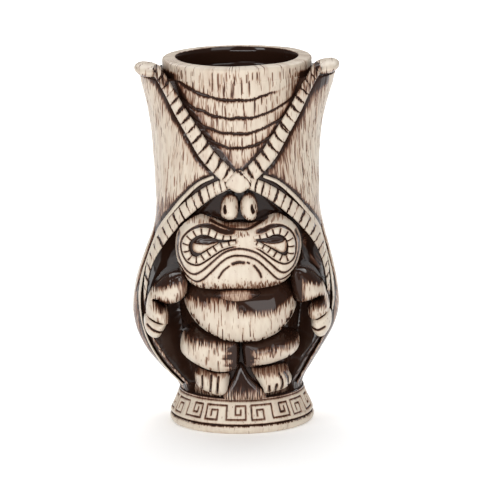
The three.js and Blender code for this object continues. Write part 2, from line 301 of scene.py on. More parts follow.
CUP_OUTSIDE = ((16, CUP - 6.7), (40, CUP - 2), (70, CUP), (HEIGHT, CUP))


def niche_depth(x, z):
    """The floor of the niche: the cup's own wall, and flat beside it."""
    radius = table(z, CUP_OUTSIDE, 1)
    return most(np.sqrt(np.clip(radius ** 2 - x ** 2, 0, None)), NICHE_BACK - 1)


BODY_MAP = body_depth(X, Z)
NICHE_MAP = niche_depth(X, Z)

# ---- clay elements of the front --------------------------------------------------------------

pieces = {}


def add_relief(name, inside, front, ink=0.0, brush=0.0, back=None, skin="skin", wide=1.0):
    """Registers one element: its outline, its depth map, its ink and its brush strokes."""
    pieces[name] = {
        "inside": inside,
        "front": front,
        "back": np.minimum(NICHE_MAP - 1.5, front - 1) if back is None else back,
        "ink": np.broadcast_to(ink, X.shape),
        "brush": np.broadcast_to(brush, X.shape),
        "skin": skin,
        "wide": wide,
    }


# Half of each band's centre line, on the +x side: x, z and half width.
BROW_LINE = ((38.4, 175.4, 2.2), (33.3, 168, 2.6), (28, 158.4, 3), (21.5, 148, 3.4),
             (14.9, 137.7, 3.8), (8.9, 131.2, 3.9), (2, 124.6, 3.8))
ARCH_LINE = ((6, 124, 3.1), (15.3, 118.7, 3.2), (24.6, 110.8, 3.2), (31.8, 102.6, 2.9),
             (37.8, 93.2, 2.1), (42, 83, 1.2), (44, 72, 0.8), (44, 60, 0.7), (40.6, 46.5, 0.8),
             (33, 33.5, 0.9), (25.6, 22, 0.9))
RAIL_LINE = ((12.4, 126.8, 0.8), (19, 123.3, 0.9), (26.2, 116, 0.9), (32, 108.2, 0.9),
             (36.8, 100.7, 0.9), (41, 91.8, 0.9), (44.4, 82, 0.75), (46.4, 71, 0.6),
             (46.7, 60, 0.55), (43.2, 45.5, 0.6), (36, 32, 0.7), (28.2, 20.5, 0.7))
CROSSING_HEIGHT = 124
BAND_STAND = 3.1                 # how far the bands stand out from the body, and the rails
RAIL_STAND = 1.7


def lopsided(x, z):
    """How much further out the lower bands are on the side of `x` than on average."""
    stretch = np.sqrt(half_width(x, z) / half_width(-x, z))
    return 1 + (stretch - 1) * ease(110, 80, z)


def band_frame(points, side):
    """Position across a band (-1 to 1), length along it, outline distance and full length."""
    rows = np.array(points, float)
    rows[:, 0] *= side * lopsided(side * rows[:, 0], rows[:, 1])
    away, length, offset, total = follow(curve(rows[:, :2]))
    half = np.interp(length, np.linspace(0, total, len(rows)), rows[:, 2])
    return offset / half * side, length, away - half, total


def reach_of(line, z):
    """How far from the middle a line of (x, z) points is at the height `z`."""
    rows = np.asarray(line, float)
    order = np.argsort(rows[:, 1])
    return np.interp(z, rows[order, 1], rows[order, 0])


def between(points, x, z):
    """Below 0 between a band's centre line and its mirror image, under the crossing."""
    line = curve([row[:2] for row in points])
    return most(np.abs(x) - reach_of(line, z) * lopsided(x, z), z - CROSSING_HEIGHT)


def in_niche(x, z):
    """Below 0 in the niche that the figure stands in."""
    return between(ARCH_LINE, x, z)


def in_forehead(x, z):
    """Below 0 on the panel between the brow bands."""
    return most(np.abs(x) - reach_of(BROW_LINE, z), CROSSING_HEIGHT - z)


def rounded(across, power):
    """Height across a band: 1 in its middle and 0 at its edges."""
    return (1 - np.clip(np.abs(across), 0, 1) ** power) ** 0.5


def to_cut(phase, total, count):
    """Distance to the nearest cut of a band that is `count` blocks and `total` long."""
    return np.abs(phase - np.round(phase)) * total / count


def toothed(points, side, count, lean, flare, width, seed):
    """Height, cuts and outline of a band of `count` blocks, with slanted wedge-shaped cuts."""
    across, length, inside, total = band_frame(points, side)
    phase = count * np.clip(length / total, 0, 1) ** 0.86 + lean * across
    phase = phase + 0.14 * noise(np.floor(phase) * 2.3, across * 0.6, seed)
    width = width + 0.14 * noise(np.round(phase) * 5.1, across * 0 + 0.3, seed + 1)
    width = np.clip(width * (1 + flare * across), 0.18, 0.95)
    lift = 1 + 0.12 * noise(np.floor(phase) * 7.7, across * 0, seed + 2)
    return rounded(across, 5) * lift, bell(to_cut(phase, total, count), width), inside


DEEP = np.full(X.shape, NICHE_BACK - 3)     # a back that reaches into the wall of the niche


def build_brow_band(word, side):
    height, cut, inside = toothed(BROW_LINE, side, count=13, lean=-0.2, flare=-0.6, width=0.42,
                                  seed=10 + side)
    low_end = 1 - 0.6 * ease(169, 175, Z)
    front = BODY_MAP + BAND_STAND * height * low_end - 1.7 * cut * height
    rough = ease(162, 172, Z) * (0.45 + 0.3 * noise(X / 1.2, Z / 3, 24))
    add_relief(f"brow_band_{word}", inside, front, ink=most(1.3 * cut, rough),
               brush=0.1 + 0.5 * rough, wide=0.25)


def build_arch_band(word, side):
    height, cut, inside = toothed(ARCH_LINE, side, count=26, lean=0.26, flare=0.35, width=0.36,
                                  seed=20 + side)
    sunk = ease(72, 58, Z)
    front = BODY_MAP + BAND_STAND * height * (1 - 0.6 * sunk) - 1.5 * cut * height - 1.4 * sunk
    shade = sunk * (0.9 - 0.55 * height * (side < 0))
    add_relief(f"arch_band_{word}", inside, front, ink=most(1.3 * cut, shade),
               brush=0.12 + 0.6 * sunk, back=DEEP, wide=0.3)


def build_arch_rail(word, side):
    across, _, inside, _ = band_frame(RAIL_LINE, side)
    dim = ease(60, 40, Z) * (side > 0)
    add_relief(f"arch_rail_{word}", inside, BODY_MAP + RAIL_STAND * rounded(across, 3),
               brush=0.12 + 0.75 * dim, back=DEEP, wide=0.2)


def build_bands():
    for word, side in SIDES.items():
        build_brow_band(word, side)
        build_arch_band(word, side)
        build_arch_rail(word, side)


CROSSING = ((-6.4, 124), (-3.6, 128), (0, 130.6), (4.2, 128.4), (7, 124.6), (4, 121.4),
            (0.4, 119.6), (-3.6, 121.2))


def build_crossing():
    inside = outline(CROSSING)
    seam = groove(((-0.4, 130.4), (3, 128), (5.4, 125.2), (6.6, 121.8)), 0.5)
    front = BODY_MAP + 2 + 2.4 * edge(inside, 2) - 1.3 * seam
    add_relief("crossing_block", inside, front, ink=1.3 * seam, brush=0.08)


# The forehead's hanging ledges: lowest height of each and how fast it climbs to the sides.
LEDGES = ((163.6, 0.0092), (154.8, 0.0112), (147.6, 0.014), (140.6, 0.021))
LEDGE_CUT = 1.2


def forehead_profile(x, z):
    """Depth of the ledges cut into the forehead, and how many of them hang above a point."""
    cut = np.zeros(np.shape(x))
    above = np.zeros(np.shape(x))
    for i, (lowest, climb) in enumerate(LEDGES):
        wander = 0.4 * noise(x / 4, x * 0 + i, 31) + 0.15 * noise(x / 0.9, x * 0 + i, 32)
        off = z - (lowest + climb * x ** 2 + wander)
        width = np.where(off > 0, 0.6, 0.85) * (1 + 0.3 * noise(x / 6, x * 0 + i, 33))
        width = width * (1 + 0.3 * ease(-5, -20, x))
        fade = 1 - 0.8 * ease(13, 22, x) * (i == 0)
        cut = most(cut, bell(off, width) * fade)
        above = above + ease(0.8, -0.8, off)
    return cut, above


def rim_turn(x):
    """Angle round the axis of a point of the rim, from how far across it is."""
    return np.arcsin(np.clip(x / RIM, -1, 1))


def lip_cuts(arc, z, share):
    """Knife cuts that run on from the rim into the forehead, along the arc at the rim."""
    return dashes(arc, z, 41, pitch=2.6, run=9, share=share, width=0.26)


def build_forehead():
    inside = most(ASIDE - reach_of(BROW_LINE, Z), Z - (CAPE_TOP + 0.6), 123 - Z)
    cut, above = forehead_profile(X, Z)
    # The panel is as round as the rim at its top and lies on the body lower down.
    circle = np.sqrt(np.clip(RIM ** 2 - X ** 2, 25, None))
    low = ease(CAPE_TOP - 2, 138, Z)
    front = circle * (1 - low) + (BODY_MAP - 0.9) * low
    front = front - LEDGE_CUT * cut + 0.3 * above * (1 - ease(168, 172, Z))
    # Its cuts are closer and its dark edge wider on the figure's right.
    right_side = ease(2, -10, X)
    marks = lip_cuts(RIM * rim_turn(X), Z, 0.5 + 0.2 * ease(155, 168, Z) + 0.2 * right_side)
    front = front + 0.14 * grain(X, Z, 40) - 0.4 * marks * (1 - cut)
    reach = 1.2 + 1.6 * right_side * ease(126, 140, Z)
    brush = 0.2 + 0.1 * right_side + 0.7 * np.exp(-np.clip(SEAM - reach, 0, None) / 2)
    ink = most(1.25 * cut, 0.85 * marks, ease(reach + 0.9, reach - 0.4, SEAM))
    add_relief("forehead_panel", inside, front, ink=ink, brush=brush + 0.1 * (above > 0.5),
               back=front - 3, skin="bark", wide=0.0)


# The head's outline, its mouth lines and its eyes. The face is a stylised carving.
HEAD = ((-30.7, 93), (-29.2, 100.4), (-25.2, 105.2), (-18.8, 108.4), (-13.2, 107.4),
        (-7.5, 106), (0.4, 105.6), (8.2, 105.8), (13.6, 107.8), (18.4, 108.6), (23.4, 105.6),
        (27.4, 100.8), (29.6, 93.6), (28.6, 86.4), (24.8, 78.4), (18.6, 74), (9, 71.9),
        (-1, 71.5), (-11, 71.7), (-19.6, 72.8), (-26, 77.2), (-29.9, 85.4))
FROWN_OUTER = ((-28.6, 100.4), (-29.7, 92.7), (-28.4, 87.1), (-25.5, 82.7), (-21.7, 81.3),
               (-17.5, 83.4), (-12.7, 87.7), (-7.6, 91.9), (-3.3, 93.5), (0.5, 93.8),
               (5.2, 92.8), (9.4, 90.8), (14.4, 86.4), (18.6, 82.4), (22, 81.5), (25.6, 83.8),
               (27.8, 89.2), (28.3, 95.3), (26.8, 100.5))
FROWN_INNER = ((-29.1, 84.9), (-25.6, 80.1), (-21.4, 77.6), (-18, 78.7), (-13.7, 82.5),
               (-8.5, 87.6), (-4.2, 90.1), (0, 90.5), (4.3, 89.8), (8.5, 87.8), (12.7, 83.8),
               (16.8, 79.4), (19.4, 77.9), (23.2, 79.3), (26.6, 82.4))
BROW_FOLD = ((-13.6, 106.6), (-9, 104.6), (-4.5, 103.3), (0, 102.9), (4.4, 103.1), (9.4, 105.2),
             (13.4, 107.4))
# Each stroke over the chin, and its width.
CHIN_ARCS = ((((-10.3, 79.8), (-8.1, 83.1), (-5.1, 85.6)), 0.42),
             (((-3.4, 86.7), (-0.9, 87.4), (1.9, 87.2)), 0.68),
             (((3.6, 87.2), (4.4, 86.9)), 0.42),
             (((6.8, 85.6), (9.2, 82.4), (10.1, 80)), 0.52))

# Centre lines of the toothed rings round the eyes, and what is inside them.
RING = {
    "right": ((-0.6, 99.4), (-3.6, 99.2), (-6.9, 99.2), (-10.6, 100.2), (-14.2, 101.8),
              (-18, 102.3), (-21.6, 101), (-24.4, 98.6), (-25.8, 95.8), (-25.7, 92.6),
              (-23.9, 89), (-20.3, 88), (-16.7, 90), (-12.8, 92.7), (-9, 95.1), (-4.4, 96.6),
              (-0.4, 97.2)),
    "left": ((6.4, 98.8), (8.9, 99.3), (12.5, 100), (15.9, 101.6), (19.3, 101.8), (22.6, 100),
             (24.5, 96.7), (24.8, 92.8), (24, 89), (21.4, 87.9), (18.3, 89.2), (15.2, 91.4),
             (11.1, 94.5), (7.4, 96.6)),
}
RING_HALF = 1.75                 # half width of a ring
RING_BLOCK = 3.5                 # length of one block of a ring
BRIDGE = 3.0                     # x of the bridge of the nose
TAIL = {"right": -0.4, "left": 6.4}
SLIT = {
    "right": ((-8.4, 97.5), (-4, 98), (1, 98.3)),
    "left": ((11, 97.7), (8.4, 97.9), (5.6, 97.8)),
}
EYE = {
    "right": ((-22.4, 95.6), (-20.8, 98.6), (-15.6, 99.6), (-10.6, 98), (-10, 96.6),
              (-15.2, 92.9), (-19.2, 91.2), (-22.2, 92.6)),
    "left": ((9.6, 97), (13.6, 98.6), (19, 99.1), (22.2, 97.4), (22.7, 93.6), (20.8, 90.9),
             (17, 92.4)),
}
LID = {
    "right": ((-22.2, 96.6), (-20, 99.2), (-16, 100.4), (-12, 100), (-6.8, 99), (-10.6, 96.8),
              (-16, 95.8)),
    "left": ((7.4, 98.4), (12.4, 99.8), (17.6, 100.4), (22, 98.8), (20.4, 96.4), (15.4, 95.8),
             (11, 96.6)),
}
HEAD_BACK = 33.5
HEAD_STAND = 13.6
HEAD_CURVE = 0.0052              # fall of the face towards its sides


def face_surface(inside):
    return HEAD_BACK + HEAD_STAND * edge(inside, 7.5, 2.3) - HEAD_CURVE * X ** 2


def open_end(reach):
    """0 on the bridge of the nose, where the rings round the eyes run out, and 1 beyond it."""
    return ease(3.2, reach, np.abs(X - BRIDGE))


def mound(x, z, width, height):
    """1 at a point of the front, falling off over `width` across and `height` up."""
    return np.exp(-(((X - x) / width) ** 2 + ((Z - z) / height) ** 2))


def carve_face(front):
    """The face with its frown lines and the strokes over the chin cut in, and their ink."""
    lines = most(groove(FROWN_OUTER, 0.46), groove(FROWN_INNER, 0.42), groove(BROW_FOLD, 0.5))
    folds = groove(FROWN_OUTER, 2.2) + groove(FROWN_INNER, 2.2)
    arcs = most(*(groove(arc, width) for arc, width in CHIN_ARCS))
    front = front - 0.9 * lines - 0.35 * folds + 1.5 * mound(0, 79.5, 8.5, 6) - 0.7 * arcs
    return front, 1.3 * most(lines, arcs)


def build_head():
    inside = outline(HEAD)
    front, ink = carve_face(face_surface(inside))
    for word in SIDES:
        ring = outline(RING[word])
        socket = ease(1.6, -0.4, ring) * open_end(7)
        # The line round each ring is wider and darker over the eye, towards the nose.
        shadow = ease(95, 100, Z) * ease(26, 12, ASIDE) * ease(2.5, 6, np.abs(X - BRIDGE))
        width = 0.4 + 0.75 * shadow
        border = bell(ring - 2.1 - 0.5 * shadow, width, 4) * open_end(7.5)
        front = front - 2.4 * socket - 1.1 * border
        ink = most(ink, ease(1.2, 0.4, ring) * open_end(7), 1.3 * border)
    stubble = dashes(X, Z, 52, pitch=1.7, run=4, share=0.8, width=0.25)
    dip = mound(0.6, 100.8, 6, 2)
    bridge = ease(103, 104.2, Z) * ease(9.5, 6.5, ASIDE)
    brow = ease(103.5, 106.5, Z) * ease(8, 12, ASIDE)
    chin = ease(81, 74, Z + 0.1 * np.abs(X - 8) + 0.8 * noise(X / 3, Z / 3, 54))
    brush = 0.06 + 0.8 * chin + 0.5 * dip + 0.5 * brow + 0.4 * bridge
    ink = most(ink, stubble * ease(80, 76, Z) * 0.8,
               bridge * (0.62 + 0.2 * noise(X / 3, Z / 0.8, 53)))
    add_relief("head", inside, front, ink=ink, brush=brush, back=NICHE_MAP - 1.5, skin="face")


def build_eye_ring(word, face):
    away, length, _, total = follow(curve(RING[word], closed=True))
    count = round(total / RING_BLOCK)
    phase = length / total * count
    cut = bell(to_cut(phase, total, count), 0.3)
    half = RING_HALF * (1 - 0.35 * ease(14, 3, np.abs(X - TAIL[word])))
    shoulder = rounded(away / half, 3)
    runout = 1 - open_end(8)
    slit = groove(SLIT[word], 0.45)
    front = face - 1.3 + 2.1 * shoulder * (1 - 0.3 * runout) - 1.2 * cut * shoulder - 1.2 * slit
    add_relief(f"eye_ring_{word}", away - half, front, ink=1.3 * most(cut, slit),
               brush=0.04, back=face - 4, skin="face", wide=0.3)


def build_eye(word, face):
    ball, lid = outline(EYE[word]), outline(LID[word])
    dark = ease(0.4, -0.3, lid)
    both = np.minimum(ball, lid)
    front = face - 2.4 + 2.2 * edge(both, 3, 2) - 1.4 * dark
    tan = 0.35 * ease(-1.8, -0.4, ball)
    add_relief(f"eye_{word}", both, front, ink=most(1.1 * dark, tan), brush=0.14,
               back=face - 5, skin="face", wide=0.2)


def build_eyes():
    face = face_surface(outline(HEAD))
    for word in SIDES:
        build_eye_ring(word, face)
        build_eye(word, face)


NOSE = {
    "right": ((-8.9, 111.6), (-7.4, 116.8), (-4, 119), (-0.8, 117.2), (-0.1, 112.4),
              (-1, 108), (-4.6, 106.7), (-8.2, 108.2)),
    "left": ((0.5, 115), (2.4, 118.4), (5.8, 119), (8.3, 115.8), (9, 110.8), (7.6, 106.9),
             (3.6, 106.6), (0.8, 110)),
}
NOSTRIL = {
    "right": ((-6.6, 114.8), (-7.4, 113), (-7, 110.8), (-6.1, 111.4), (-6.2, 113)),
    "left": ((6.2, 115), (5.7, 113.2), (6.4, 110.8), (7.4, 111.2), (6.8, 113)),
}
NOSE_BACK = 38                   # depth that the lobes rise from


def build_nose():
    inside = np.full(X.shape, FAR)
    front = np.full(X.shape, NOWHERE)
    ink = np.zeros(X.shape)
    for word in SIDES:
        lobe = outline(NOSE[word])
        hole = outline(NOSTRIL[word])
        rise = NOSE_BACK + 9 * edge(lobe, 4.6, 2.3) - 2.6 * ease(0.4, -0.7, hole)
        front = most(front, np.where(lobe < 0.6, rise, NOWHERE))
        inside = np.minimum(inside, lobe)
        ink = most(ink, ease(0.5, 0, hole), 0.75 * ease(-0.7, 0, lobe) * (lobe < 0.6))
    front = np.where(front > 0, front, NOSE_BACK)
    brush = 0.08 + 0.5 * ease(-2.6, -0.4, inside)
    add_relief("nose", inside - 0.1, front, ink=ink, brush=brush, skin="face")


LIP = ((-13.5, 71.6), (-5, 74.4), (4, 74), (10.4, 71.8), (6.6, 68.6), (-1.4, 66.9),
       (-8.8, 68.2))
LIP_BACK = 41.4


def build_lip():
    inside = outline(LIP)
    front = LIP_BACK + 6.2 * edge(inside, 3, 2.2) - 0.012 * X ** 2
    sides = ease(4.5, 9, np.abs(X + 1.8))
    border = ease(-1.6, -0.4, inside)
    add_relief("lip", inside, front, ink=0.4 + 0.5 * most(sides, border),
               brush=0.1 + 0.2 * sides, skin="face", wide=0.0)


BELLY = ((-27.6, 68), (-26.2, 62.4), (-22.9, 57), (-18.6, 52.4), (-13.5, 49), (-7.4, 46.5),
         (0.6, 45.7), (9.1, 46.3), (16.4, 49), (21.4, 53.2), (25.4, 58.6), (27.4, 65), (26, 74),
         (20, 80.5), (0, 82.5), (-20, 80.5), (-26.8, 75))
BELLY_BACK = 30.5
NAVEL = (0.6, 64.6)
NAVEL_RADIUS = 1.1


def build_belly():
    inside = outline(BELLY)
    front = BELLY_BACK + (BELLY_FRONT + 0.8 - BELLY_BACK) * edge(inside, 14, 2.3)
    front = front - 0.006 * X ** 2 - 0.028 * np.clip(Z - 56, 0, None) ** 2
    navel = bell(np.hypot(X - NAVEL[0], Z - NAVEL[1]) - NAVEL_RADIUS, 0.45)
    # Short cuts fan out along the lower edge, and a few long ones run down the middle.
    fan = X * (1 - 0.02 * (Z - 60))
    hairs = dashes(fan, Z, 62, pitch=1.5, run=4.5, share=0.98, width=0.42)
    hairs = 1.4 * hairs * ease(-4.5, -1, inside) * ease(66, 60, Z)
    marks = most(0.7 * dashes(X, Z, 61, pitch=2.6, run=8, share=0.5, width=0.22), hairs)
    # The dark cap on top hangs lower on the figure's left.
    drip = Z + 5.4 * ease(-4, 1, X) * ease(30, 12, X)
    cap = ease(65.5, 71, drip)
    right_top = ease(58, 68, Z) * ease(4, -6, X)
    front = front - 0.8 * navel - 0.35 * marks * ease(70, 66, drip)
    add_relief("belly", inside, front, ink=most(0.8 * navel, 0.9 * marks * (1 - cap), cap),
               brush=0.1 + 0.45 * right_top + 0.3 * ease(64, 69, drip), wide=0.6)


THIGH = {
    "right": ((-29.3, 42.4), (-27.8, 49), (-22.6, 53.5), (-15, 53), (-8, 51), (-0.9, 48),
              (-0.2, 40), (-1.4, 33.6), (-5.6, 31), (-11, 30.4), (-17.5, 32.2), (-23.8, 35.6),
              (-27.8, 39)),
    "left": ((0.4, 47), (8, 50), (15, 51), (22, 50.4), (27.4, 47.4), (28, 42.6), (24.8, 38.6),
             (19.3, 36), (13.7, 34.2), (6.9, 33.2), (1.6, 33.6), (0.1, 40)),
}
SHIN = {
    "right": ((-21.6, 31), (-13.6, 33), (-5.8, 31.5), (-5.2, 25), (-6.4, 19.6), (-11.2, 18),
              (-17.6, 20.2), (-21.6, 22.8), (-22.6, 27)),
    "left": ((3.8, 33), (12.9, 34), (21.4, 32.5), (23.4, 28), (24.2, 24), (20.9, 20.8),
             (15.4, 19.4), (10.4, 18.8), (9, 22), (6, 27.4)),
}
TOES = {
    "right": (((-18.9, 29), (-18.9, 22)), ((-14.4, 29.4), (-15.4, 20.6)),
              ((-11.2, 29), (-12, 19.8))),
    "left": (((18.1, 30), (19.6, 26), (19.1, 21.6)), ((20.6, 30.2), (22.3, 26.4), (22.5, 23)),
             ((16.9, 24.8), (16.3, 21)), ((13.4, 24), (13.2, 20.8))),
}
THIGH_BACK = 27.5                # depth that each limb rises from
SHIN_BACK = 24
CLOTH_BACK = 29
CLOTH = ((-0.4, 35.5), (-4.4, 27), (-8.6, 19.6), (-7.6, 16.6), (0, 16.4), (10, 16.6),
         (11.6, 19.6), (4.8, 27))


def build_thigh(word, side):
    inside = outline(THIGH[word])
    rounding = 8.6 - 6 * ease(9, 2, ASIDE)
    front = THIGH_BACK + 16.6 * edge(inside, rounding, 2.1) - 0.0035 * (ASIDE - 14) ** 2
    marks = dashes(X, Z, 63 + side, pitch=3.0, run=6.5, share=0.7, width=0.3)
    high = Z - 0.16 * ASIDE + 3.1 * (side > 0)
    top, inner = ease(39, 46, high), ease(12 + 2 * side, 5.5, ASIDE)
    spiky = ASIDE + 2.2 * noise(X / 7, Z / 0.9, 67)
    add_relief(f"thigh_{word}", inside, front - 0.35 * marks,
               ink=most(ease(41, 47.5, high), ease(9.5, 4, spiky), 0.8 * marks),
               brush=0.1 + most(0.4 * top, 0.5 * inner))


def build_foot(word):
    inside = outline(SHIN[word])
    front = SHIN_BACK + 12.6 * edge(inside, 6, 2.3) - 0.012 * (ASIDE - 10) ** 2
    toes = most(*(groove(line, 0.5) for line in TOES[word]))
    add_relief(f"foot_{word}", inside, front - 1.5 * toes, ink=1.3 * toes,
               brush=0.14 + 0.8 * ease(26.5, 31, Z))


def build_legs():
    for word, side in SIDES.items():
        build_thigh(word, side)
        build_foot(word)


def build_cloth():
    inside = outline(CLOTH)
    front = CLOTH_BACK + 3 * edge(inside, 2.2) + 0.12 * (32 - Z)
    shade = 0.12 * noise(X / 1.3, Z / 9, 66)
    add_relief("loincloth", inside, front, ink=0.5 + shade + 0.45 * ease(17, 24, Z),
               brush=0.6, wide=0.25)


ARM = {
    "right": ((-26.4, 81), (-31.6, 81), (-37, 77.6), (-41.6, 72), (-44.6, 66.6), (-45.6, 61),
              (-45, 57.4), (-40, 54.6), (-35.2, 54.4), (-34.4, 58.4), (-36, 62.4), (-40.4, 65.8),
              (-35.4, 64.4), (-29, 66.2), (-25, 72)),
    "left": ((24.6, 81.6), (29.4, 82.4), (34.8, 79.2), (38.8, 74.4), (41.8, 67.4), (42.8, 59.6),
             (38.6, 56), (34.4, 55.4), (32.4, 59), (34.6, 62.8), (38.2, 66), (32, 64.8),
             (27.4, 65), (24.4, 72)),
}
CREASE = {
    "right": ((-41.8, 66.2), (-39.6, 65.4)),
    "left": ((39.8, 66.6), (37.8, 65.6)),
}
ELBOW = 64.6                     # height of the fold inside each elbow
HAND = {
    "right": ((-45.6, 58.4), (-46.8, 54.2), (-45.8, 49.7), (-43, 47), (-39.6, 47.2),
              (-37.8, 49.8), (-36.4, 52.4), (-35.8, 55), (-40, 56.4)),
    "left": ((34.4, 55), (38, 57.4), (42.6, 59.4), (44, 55.7), (43.4, 50.8), (40.4, 46.5),
             (37, 46.4), (34.4, 50.1)),
}
FINGERS = {
    "right": ((-44.8, 54.2), (-42, 52), (-36.8, 50)),
    "left": ((34.6, 51.4), (37.1, 50.8), (40.3, 52)),
}


def build_arm(word, side, base):
    inside = outline(ARM[word])
    away = side * X
    crease = groove(CREASE[word], 0.8)
    marks = dashes(X, Z, 71 + side, pitch=3.0, run=5.5, share=0.75, width=0.3)
    front = base + 8.2 * edge(inside, 5.6 - 2.8 * ease(72, 80, Z), 2) - 2.4 * crease - 0.3 * marks
    stump = ease(33.5, 29.5, away) if side > 0 else ease(31.5, 26.5, away)
    elbow = ease(38.5, 34, away) * ease(66, 62, Z)
    notch = ease(7.5, 1.5, np.hypot(away - 37.5, 1.4 * (Z - ELBOW)))
    shoulder = Z - 77.4 - 0.6 * (side > 0) + 0.35 * (away - 27)
    ink = most(1.3 * crease, 0.8 * marks, 0.9 * notch, ease(-3, 1, shoulder),
               (side > 0) * ease(31.5, 29, away))
    brush = 0.12 + most(0.8 * stump, 0.5 * elbow) + 0.2 * ease(-4, 0, shoulder)
    add_relief(f"arm_{word}", inside, front, ink=ink, brush=brush, back=DEEP)


def build_hand(word, base):
    inside = outline(HAND[word])
    fingers = groove(FINGERS[word], 0.55)
    front = base - 1 + 8 * edge(inside, 4.2, 2) - 1.5 * fingers
    add_relief(f"hand_{word}", inside, front, ink=1.3 * fingers, brush=0.08, back=DEEP,
               skin="face")


def build_arms():
    base = 10 + 0.62 * body_depth(X * 0.93, Z)
    for word, side in SIDES.items():
        build_arm(word, side, base)
        build_hand(word, base)


# ---- meshes ----------------------------------------------------------------------------------


def relax(points, quads, rounds, amount=0.5):
    """Evens out a mesh by moving each point towards its neighbours."""
    a, b = quads.ravel(), np.roll(quads, -1, axis=1).ravel()
    count = (np.bincount(a, minlength=len(points)) + np.bincount(b, minlength=len(points)))
    for _ in range(rounds):
        pull = np.stack([np.bincount(a, points[b, k], len(points))
                         + np.bincount(b, points[a, k], len(points)) for k in range(3)], 1)
        points = points + amount * (pull / count[:, None] - points)
    return points


def make_object(name, points, quads, paint_at, ink, brush, material):
    """A mesh object from millimetre points (x, depth, z), in place of the node of that name.

    `paint_at` is where the brush strokes are read: strokes run along its third number."""
    place = np.stack([points[:, 0], -points[:, 1], points[:, 2]], 1) * MM
    place[:, 0] += AXIS.x
    place[:, 1] += AXIS.y
    mesh = bpy.data.meshes.new(name)
    mesh.from_pydata(place.tolist(), [], quads.tolist())
    mesh.validate()
    for word, values in (("ink", ink), ("brush", brush)):
        layer = mesh.attributes.new(word, "FLOAT", "POINT")
        layer.data.foreach_set("value", np.clip(values, 0, 1).astype(np.float32))
    layer = mesh.attributes.new("paint_at", "FLOAT_VECTOR", "POINT")
    layer.data.foreach_set("vector", np.asarray(paint_at, np.float32).ravel())
    mesh.polygons.foreach_set("use_smooth", [True] * len(mesh.polygons))
    mesh.materials.append(material)
    obj = bpy.data.objects.new(name, mesh)
    bpy.context.scene.collection.objects.link(obj)
    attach(obj, "root")
    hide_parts(name)


def flat_paint(x, z):
    """Where strokes are read on the front: they run straight up."""
    return np.stack([x, 0 * x, z], -1)


def round_paint(turn, z, radius=CYLINDER):
    """Where strokes are read on a turned piece: on a plain cylinder, so they run straight up."""
    return np.stack([radius * np.sin(turn), radius * np.cos(turn), z], -1)


def surface(field, low):
    """The closed surface where `field` is 0, from its values on a grid that starts at `low`."""
    reach = 3 * STEP
    for side in (0, -1):
        field[side] = reach
        field[:, side] = reach
        field[:, :, side] = reach
    grid = openvdb.FloatGrid(reach)
    grid.copyFromArray(np.clip(field, -reach, reach).astype(np.float32))
    points, quads = grid.convertToQuads(isovalue=0.0)
    quads = np.asarray(quads, np.int64)
    points = relax(np.asarray(points, float) * STEP + low, quads, 2)
    return points, outward(points, quads)


def relief_mesh(piece):
    """The closed surface of one front element, as points and quads."""
    inside, front, back = piece["inside"], piece["front"], piece["back"]
    spot = np.argwhere(inside < 0)
    (i0, j0), (i1, j1) = spot.min(0) - 3, spot.max(0) + 4
    i0, j0 = max(i0, 0), max(j0, 0)
    inside, front, back = (m[i0:i1, j0:j1] for m in (inside, front, back))
    low = float(back[inside < 0].min()) - 3 * STEP
    high = float(front[inside < 0].max()) + 3 * STEP
    depth = np.arange(low, high, STEP)[None, :, None]
    field = most(depth - front[:, None, :], back[:, None, :] - depth, inside[:, None, :])
    return surface(field, (GRID_X[0] + i0 * STEP, low, GRID_Z[0] + j0 * STEP))


def outward(points, quads):
    """Quads turned so that the volume is positive once depth is flipped to -Y."""
    a, b, c, d = (points[quads[:, k]] * (1, -1, 1) for k in range(4))
    volume = np.einsum("ij,ij->i", a, np.cross(b, c) + np.cross(c, d)).sum()
    return quads if volume > 0 else quads[:, ::-1]


# ---- materials -------------------------------------------------------------------------------


def feed(tree, node, inputs):
    """Gives each input of a node a constant or another node's output."""
    for socket, value in inputs.items():
        if isinstance(value, bpy.types.NodeSocket):
            tree.links.new(value, node.inputs[socket])
        else:
            node.inputs[socket].default_value = value


def add_node(tree, kind, inputs):
    node = tree.nodes.new("ShaderNode" + kind)
    feed(tree, node, inputs)
    return node


def shader(name):
    material = bpy.data.materials.new(name)
    material.use_nodes = True
    tree = material.node_tree
    tree.nodes.clear()
    bsdf = add_node(tree, "BsdfPrincipled", {})
    add_node(tree, "OutputMaterial", {"Surface": bsdf.outputs["BSDF"]})
    return material, tree, bsdf


def maths(tree, operation, *values, clamp=False):
    node = tree.nodes.new("ShaderNodeMath")
    node.operation = operation
    node.use_clamp = clamp
    feed(tree, node, dict(enumerate(values)))
    return node.outputs["Value"]


def ramp(tree, value, stops):
    """A colour ramp through (position, colour) stops."""
    node = add_node(tree, "ValToRGB", {"Fac": value})
    elements = node.color_ramp.elements
    while len(elements) < len(stops):
        elements.new(0.5)
    for element, (position, colour) in zip(elements, stops):
        element.position = position
        element.color = (*colour, 1)
    return node.outputs["Color"]


def spread(tree, value, low, high):
    """`value` as 0 to 1 between two levels, smoothly; each level is a number or a socket."""
    node = add_node(tree, "MapRange", {"Value": value, "From Min": low, "From Max": high})
    node.interpolation_type = "SMOOTHSTEP"
    return node.outputs["Result"]


def scaled(tree, place, widths):
    """Coordinates in units of `widths`."""
    node = add_node(tree, "Mapping", {"Vector": place, "Scale": [1 / w for w in widths]})
    return node.outputs["Vector"]


def cloud(tree, place, widths, detail):
    """Noise whose lumps have the given widths, as its value and its colour."""
    node = add_node(tree, "TexNoise", {"Vector": scaled(tree, place, widths), "Scale": 1.0,
                                       "Detail": detail, "Roughness": 0.6})
    return node.outputs["Fac"], node.outputs["Color"]


